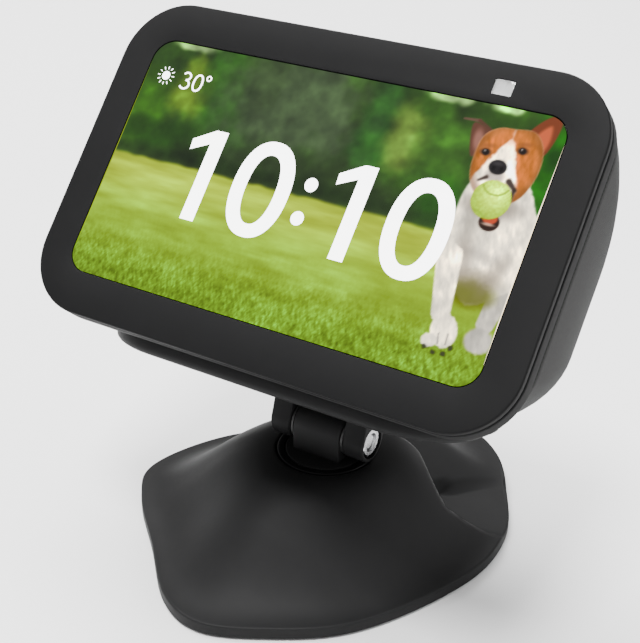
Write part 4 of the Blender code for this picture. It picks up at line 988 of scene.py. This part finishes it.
def build_buttons():
    """Three sprung buttons; a ring marks mute, and a bar or a cross the volume."""
    bars = {"volume_down": ((1.1, 0.17),), "volume_up": ((1.1, 0.17), (0.17, 1.1))}
    for name, x in BUTTON_PLACES.items():
        place, key = button_place(x), f"{name}_key"
        cap = upright_plate(5.0, 2.5, 2.2, BUTTON_LOW, 0.6, 0.35)
        body = add_piece(f"{name}_cap", cap, place, "button", key, f"{name}_button")
        cut_by(body, upright_plate(6.0, 3.5, 2.5, BUTTON_LOW, -3.5), place, 'UNION')
        for number, (half_length, half_width) in enumerate(bars.get(name, ())):
            bar = upright_plate(half_length, half_width, 0.08, MARK_LOW, MARK_HIGH)
            add_piece(f"{name}_mark_{number + 1}", bar, place, "mark", key, None)
        if name not in bars:
            ring = [(0.75, MARK_LOW), (1.15, MARK_LOW), (1.15, MARK_HIGH), (0.75, MARK_HIGH)]
            add_piece(f"{name}_mark", turned(ring, steps=32), place, "mark", key, None)


def build_jack():
    sleeve = turned([(0.0, 48.0), (4.3, 48.0), (JACK_RADIUS, 48.3), (JACK_RADIUS, 63.6), (4.45, 63.9),
                     (4.2, JACK_MOUTH), (3.3, JACK_MOUTH), (3.1, 63.8), (3.1, 54.0), (0.0, 54.0)],
                    "Y", jack_centre(), 48)
    add_piece("barrel_socket", sleeve, DISPLAY, "collar", "display", "power_jack")
    pin = [(0.0, 54.05), (0.8, 54.05), (0.8, 62.0), (0.55, 62.5), (0.0, 62.6)]
    add_piece("barrel_socket_pin", turned(pin, "Y", jack_centre(), 24), DISPLAY, "steel", "display", None)


# Tray, hinge and post

def tray_outline(inset):
    half, front, back = 56.5 - inset, -46.0 + inset, 14.0 - inset
    right = ((half, front, 22.0 - inset), (half, front + 38.0, 16.0), (half - 20.0, back, 14.0))
    return corner_outline(right + tuple((-x, y, radius) for x, y, radius in right[::-1]), 10)


def arm(radius, rise, low, high, edge=0.5, steps=28):
    """Hinge arm along X with a round end about the axis and softened rims."""
    def at(x, inset):
        small = radius - inset
        outline = arc((0.0, 0.0), small, 180.0, 360.0, steps) + [(small, rise), (-small, rise)]
        return [(x, *p) for p in outline]
    turns = rounding(edge, 3)
    return loft([at(low + drop, inset) for inset, drop in turns[::-1]]
                + [at(high - drop, inset) for inset, drop in turns])


def build_tray():
    levels = [(TRAY_LOW + drop, inset) for inset, drop in rounding(2.2, 5)[::-1]]
    levels += [(TRAY_TOP - drop, inset) for inset, drop in rounding(0.5, 3)]
    loops = [[(p.x, p.y, height) for p in tray_outline(inset)] for height, inset in levels]
    tray = add_piece("stand_tray", loft(loops), TILT, "tray", "display", "tray", 50.0)
    for low, high in ((-EAR_OUTER, -EAR_INNER), (EAR_INNER, EAR_OUTER)):
        cut_by(tray, arm(EAR_RADIUS, TRAY_LOW + 1.0, low, high), TILT, 'UNION')
    for radius, low, high in ((BOLT_HOLE_RADIUS, -20.0, 20.0), (4.6, -20.0, -12.4), (4.95, 12.2, 20.0)):
        cut_by(tray, cylinder(radius, low, high), TILT)


def nut_ring(x, shrink, steps=48):
    """Hexagon across X, drawn in most at its corners."""
    loop = []
    for k in range(steps):
        turn = 360.0 * k / steps
        past_corner = turn % 60.0
        radius = NUT_HALF_FLATS / math.cos(math.radians(past_corner - 30.0))
        radius -= shrink if past_corner in (0.0, 7.5, 52.5) else shrink * 0.25
        loop.append((x, radius * math.sin(math.radians(turn)), radius * math.cos(math.radians(turn))))
    return loop


def build_hinge_hardware():
    profile = [(0.0, -15.3), (2.2, -15.3), (3.6, -15.0), (4.15, -14.3), (4.3, -13.4), (4.3, -12.7),
               (2.5, -12.7), (2.5, 8.8)]
    for k in range(9):
        profile += [(2.5, 8.9 + 0.6 * k), (2.22, 9.2 + 0.6 * k)]
    profile += [(2.45, BOLT_TIP - 0.35), (2.0, BOLT_TIP), (0.0, BOLT_TIP)]
    screw = turned(profile, "X", steps=48)
    bolt = add_piece("hinge_screw", screw, TILT, "steel", "display", "hinge_bolt")
    cut_by(bolt, cylinder(1.5, -16.0, -13.6, steps=6), TILT)
    rings = [nut_ring(x, shrink) for x, shrink in
             ((NUT_LOW, 0.45), (NUT_LOW + 0.35, 0.0), (NUT_HIGH - 0.4, 0.0), (NUT_HIGH, 0.5))]
    nut = add_piece("hex_nut", loft(rings), TILT, "steel", "display", "hinge_nut", 25.0)
    cut_by(nut, cylinder(BOLT_HOLE_RADIUS, 10.0, 16.0), TILT)


def build_post():
    place = HINGE @ WORLD
    upright = arm(EAR_RADIUS, HINGE_HEIGHT - DISC_TOP + 1.0, -POST_HALF_WIDTH, POST_HALF_WIDTH, 0.45)
    body = add_piece("turning_post", upright, place @ Matrix.Rotation(math.pi, 4, 'X'), "stand", "post",
                     "swivel_post", 50.0)
    profile = [(0.0, 19.5), (7.0, 19.5), (7.0, 25.6), (DISC_RADIUS, 25.6), (DISC_RADIUS, DISC_TOP - 0.6)]
    profile += arc((DISC_RADIUS - 0.6, DISC_TOP - 0.6), 0.6, 0.0, 90.0, 5)[1:] + [(0.0, DISC_TOP)]
    cut_by(body, turned(profile, steps=96), WORLD, 'UNION')
    cut_by(body, cylinder(BOLT_HOLE_RADIUS, -9.0, 9.0), place)
    cut_by(body, cylinder(2.3, 18.0, 27.5, "Z"), WORLD)


def build_collar():
    inner, outer, low = DISC_RADIUS + 0.3, COLLAR_RADIUS, 24.3
    profile = [(inner, low), (outer, low), (outer, DISC_TOP - 0.5)]
    profile += arc((outer - 0.5, DISC_TOP - 0.5), 0.5, 0.0, 90.0, 4)[1:]
    profile += arc((inner + 0.3, DISC_TOP - 0.3), 0.3, 90.0, 180.0, 3)
    add_piece("swivel_collar", turned(profile, steps=120), WORLD, "collar", "foot", "collar_ring",
              50.0)


# Foot

def channel_height(x, y):
    """Height of the cable channel: steep near bank and end, low step and gentle slope on the far side."""
    (ax, ay), (bx, by) = CHANNEL_CORNERS
    near = max(((x - ax) * (by - ay) - (y - ay) * (bx - ax)) / math.hypot(bx - ax, by - ay), 0.0)
    far = max(CHANNEL_FAR_SIDE - x, 0.0)
    step = (1.0 + 2.2 * float(smooth_step(58.0, 34.0, y))) * float(smooth_step(0.0, 0.7, far))
    end_slope = 1.15 + 3.4 * float(smooth_step(CHANNEL_FAR_SIDE - 4.0, CHANNEL_FAR_SIDE + 7.0, x))
    rise = math.hypot(near * CHANNEL_NEAR_SLOPE, max(ay - y, 0.0) * end_slope)
    return CHANNEL_FLOOR + math.hypot(rise, step + far * CHANNEL_FAR_SLOPE)


def soft_minimum(a, b, width):
    blend = max(width - abs(a - b), 0.0) / width
    return min(a, b) - blend * blend * width * 0.25


def bell(low, high, t):
    """Height of a cosine slope from the top, where t is 0, to its foot, where t is 1."""
    return low + (high - low) * 0.5 * (1.0 + math.cos(math.pi * t))


def build_foot():
    """One skin: a bell from the collar to the rim with the cable channel sunk in, and a hollow underside."""
    corners = [(x * FOOT_HALF_WIDTH, y * FOOT_HALF_LENGTH) for x, y in FOOT_POINTS]
    rim = [Vector(p) for p in smooth_corners(corners, 10)]
    top_edge = [soft_minimum(RIM_HEIGHT, channel_height(p.x, p.y), RIM_EDGE) for p in rim]
    side_low = FOOT_LOW + 0.3

    def drawn_in(inset):
        return [p - p.normalized() * inset for p in rim]

    def circle(radius, height):
        return [(*(p.normalized() * radius), height) for p in rim]

    loops = [[(*p, FOOT_LOW) for p in rim], [(*p, side_low) for p in rim]]
    for share in (0.4, 0.75):
        loops.append([(*p, side_low + (h - RIM_EDGE - side_low) * share) for p, h in zip(rim, top_edge)])
    for inset, drop in rounding(RIM_EDGE, 4):
        loops.append([(*p, h - drop) for p, h in zip(drawn_in(inset), top_edge)])
    upper_rings, lower_rings = 110, 24
    for k in range(1, upper_rings + 1):
        t = 1.0 - k / upper_rings
        height = bell(RIM_HEIGHT, FOOT_HEIGHT, t)
        loop = []
        for p in drawn_in(RIM_EDGE):
            q = (p.normalized() * COLLAR_LIP).lerp(p, t)
            width = 4.0 - 2.4 * float(smooth_step(-8.0, 8.0, q.x))
            loop.append((*q, soft_minimum(height, channel_height(q.x, q.y), width)))
        loops.append(loop)
    loops += [circle(15.6, FOOT_HEIGHT), circle(15.1, FOOT_HEIGHT - 0.1), circle(14.8, FOOT_HEIGHT - 0.4),
              circle(14.8, 24.0), circle(7.3, 24.0), circle(7.3, HUB_LOW), circle(HUB_RADIUS, HUB_LOW)]
    for k in range(1, lower_rings + 1):
        t = k / lower_rings
        height = bell(2.7, HUB_LOW, t)
        loop = []
        for p, edge in zip(rim, drawn_in(FOOT_WALL)):
            q = (p.normalized() * HUB_RADIUS).lerp(edge, t)
            loop.append((*q, max(min(height, channel_height(q.x, q.y) - 1.6), 1.5)))
        loops.append(loop)
    loops.append([(*p, FOOT_LOW) for p in drawn_in(FOOT_WALL)])
    add_piece("stand_foot", loft(loops, ring=True), FOOT, "stand", "foot", "base_shell", 70.0)


# CAD nodes that keep their shape

KEPT = {
    "dark_steel": [f"frame_screw_{k}" for k in range(1, 5)],
    "steel": [f"base_screw_{k}" for k in range(1, 5)] + ["shield_can", "retaining_screw", "spring_washer"],
    "plate": ("chassis_plate", "retaining_plate", "base_weight"),
    "aluminium": ("heat_spreader",),
    "inner": ("rear_housing", "speaker_box", "camera_module", "base_plate"),
    "panel": ("lcd_panel", "backlight"),
    "board": ("button_board", "main_board", "microphone_board", "antenna_board"),
    "cone": ("speaker_driver",),
    "rubber": ("foot_pad", "grip_pad"),
    "foam": ("adhesive_pad",),
    "nylon": ("friction_washer_left", "friction_washer_right", "swivel_washer"),
}


def dress_frame():
    for look, nodes in KEPT.items():
        for node in nodes:
            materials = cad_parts[node].data.materials
            materials.clear()
            materials.append(LOOKS[look])


# Light, floor and camera

def aim(item, location, target):
    item.location = location
    item.rotation_euler = (Vector(target) - Vector(location)).to_track_quat('-Z', 'Y').to_euler()


def add_area(name, location, target, size, power):
    light = bpy.data.lights.new(name, 'AREA')
    light.size = size
    light.energy = power
    aim(add_object(name, light), location, target)


def build_studio():
    bm = bmesh.new()
    bmesh.ops.create_grid(bm, x_segments=8, y_segments=8, size=4.0)
    add_piece("studio_floor", bm, Matrix.Identity(4), "floor", None)
    add_area("key", (-0.6, 0.35, 1.5), (0.0, 0.0, 0.0), 1.3, 66.0)
    add_area("front", (0.05, -0.55, 1.6), (0.0, -0.05, 0.03), 0.4, 36.0)
    add_area("side", (0.95, 0.3, 0.5), (0.0, 0.0, 0.08), 0.5, 3.5)


def build_sky():
    """Soft overhead light that fades towards the horizon."""
    world = bpy.data.worlds.new("studio")
    world.use_nodes = True
    tree = world.node_tree
    coordinates = tree.nodes.new("ShaderNodeTexCoord")
    separate = tree.nodes.new("ShaderNodeSeparateXYZ")
    spread = tree.nodes.new("ShaderNodeMapRange")
    spread.interpolation_type = 'SMOOTHSTEP'
    for key, value in (("From Min", 0.1), ("From Max", 1.0), ("To Min", 0.5), ("To Max", 1.1)):
        spread.inputs[key].default_value = value
    background = tree.nodes["Background"]
    tree.links.new(coordinates.outputs["Generated"], separate.inputs["Vector"])
    tree.links.new(separate.outputs["Z"], spread.inputs["Value"])
    tree.links.new(spread.outputs["Result"], background.inputs["Strength"])
    background.inputs["Color"].default_value = (1.0, 1.0, 1.0, 1.0)
    bpy.context.scene.world = world


def build_camera():
    data = bpy.data.cameras.new("camera")
    data.lens = 76.85
    data.sensor_width = 36.0
    data.clip_start = 0.01
    camera = add_object("camera", data)
    aim(camera, (0.1799, -0.2858, 0.2521), (0.0066, -0.0138, 0.0790))
    bpy.context.scene.camera = camera


def main():
    for build in (build_camera, build_studio, build_sky, dress_frame, build_front, build_picture,
                  build_figures, build_rim, build_shutter, build_cloth, build_buttons, build_jack,
                  build_tray, build_hinge_hardware, build_post, build_collar, build_foot):
        build()


main()
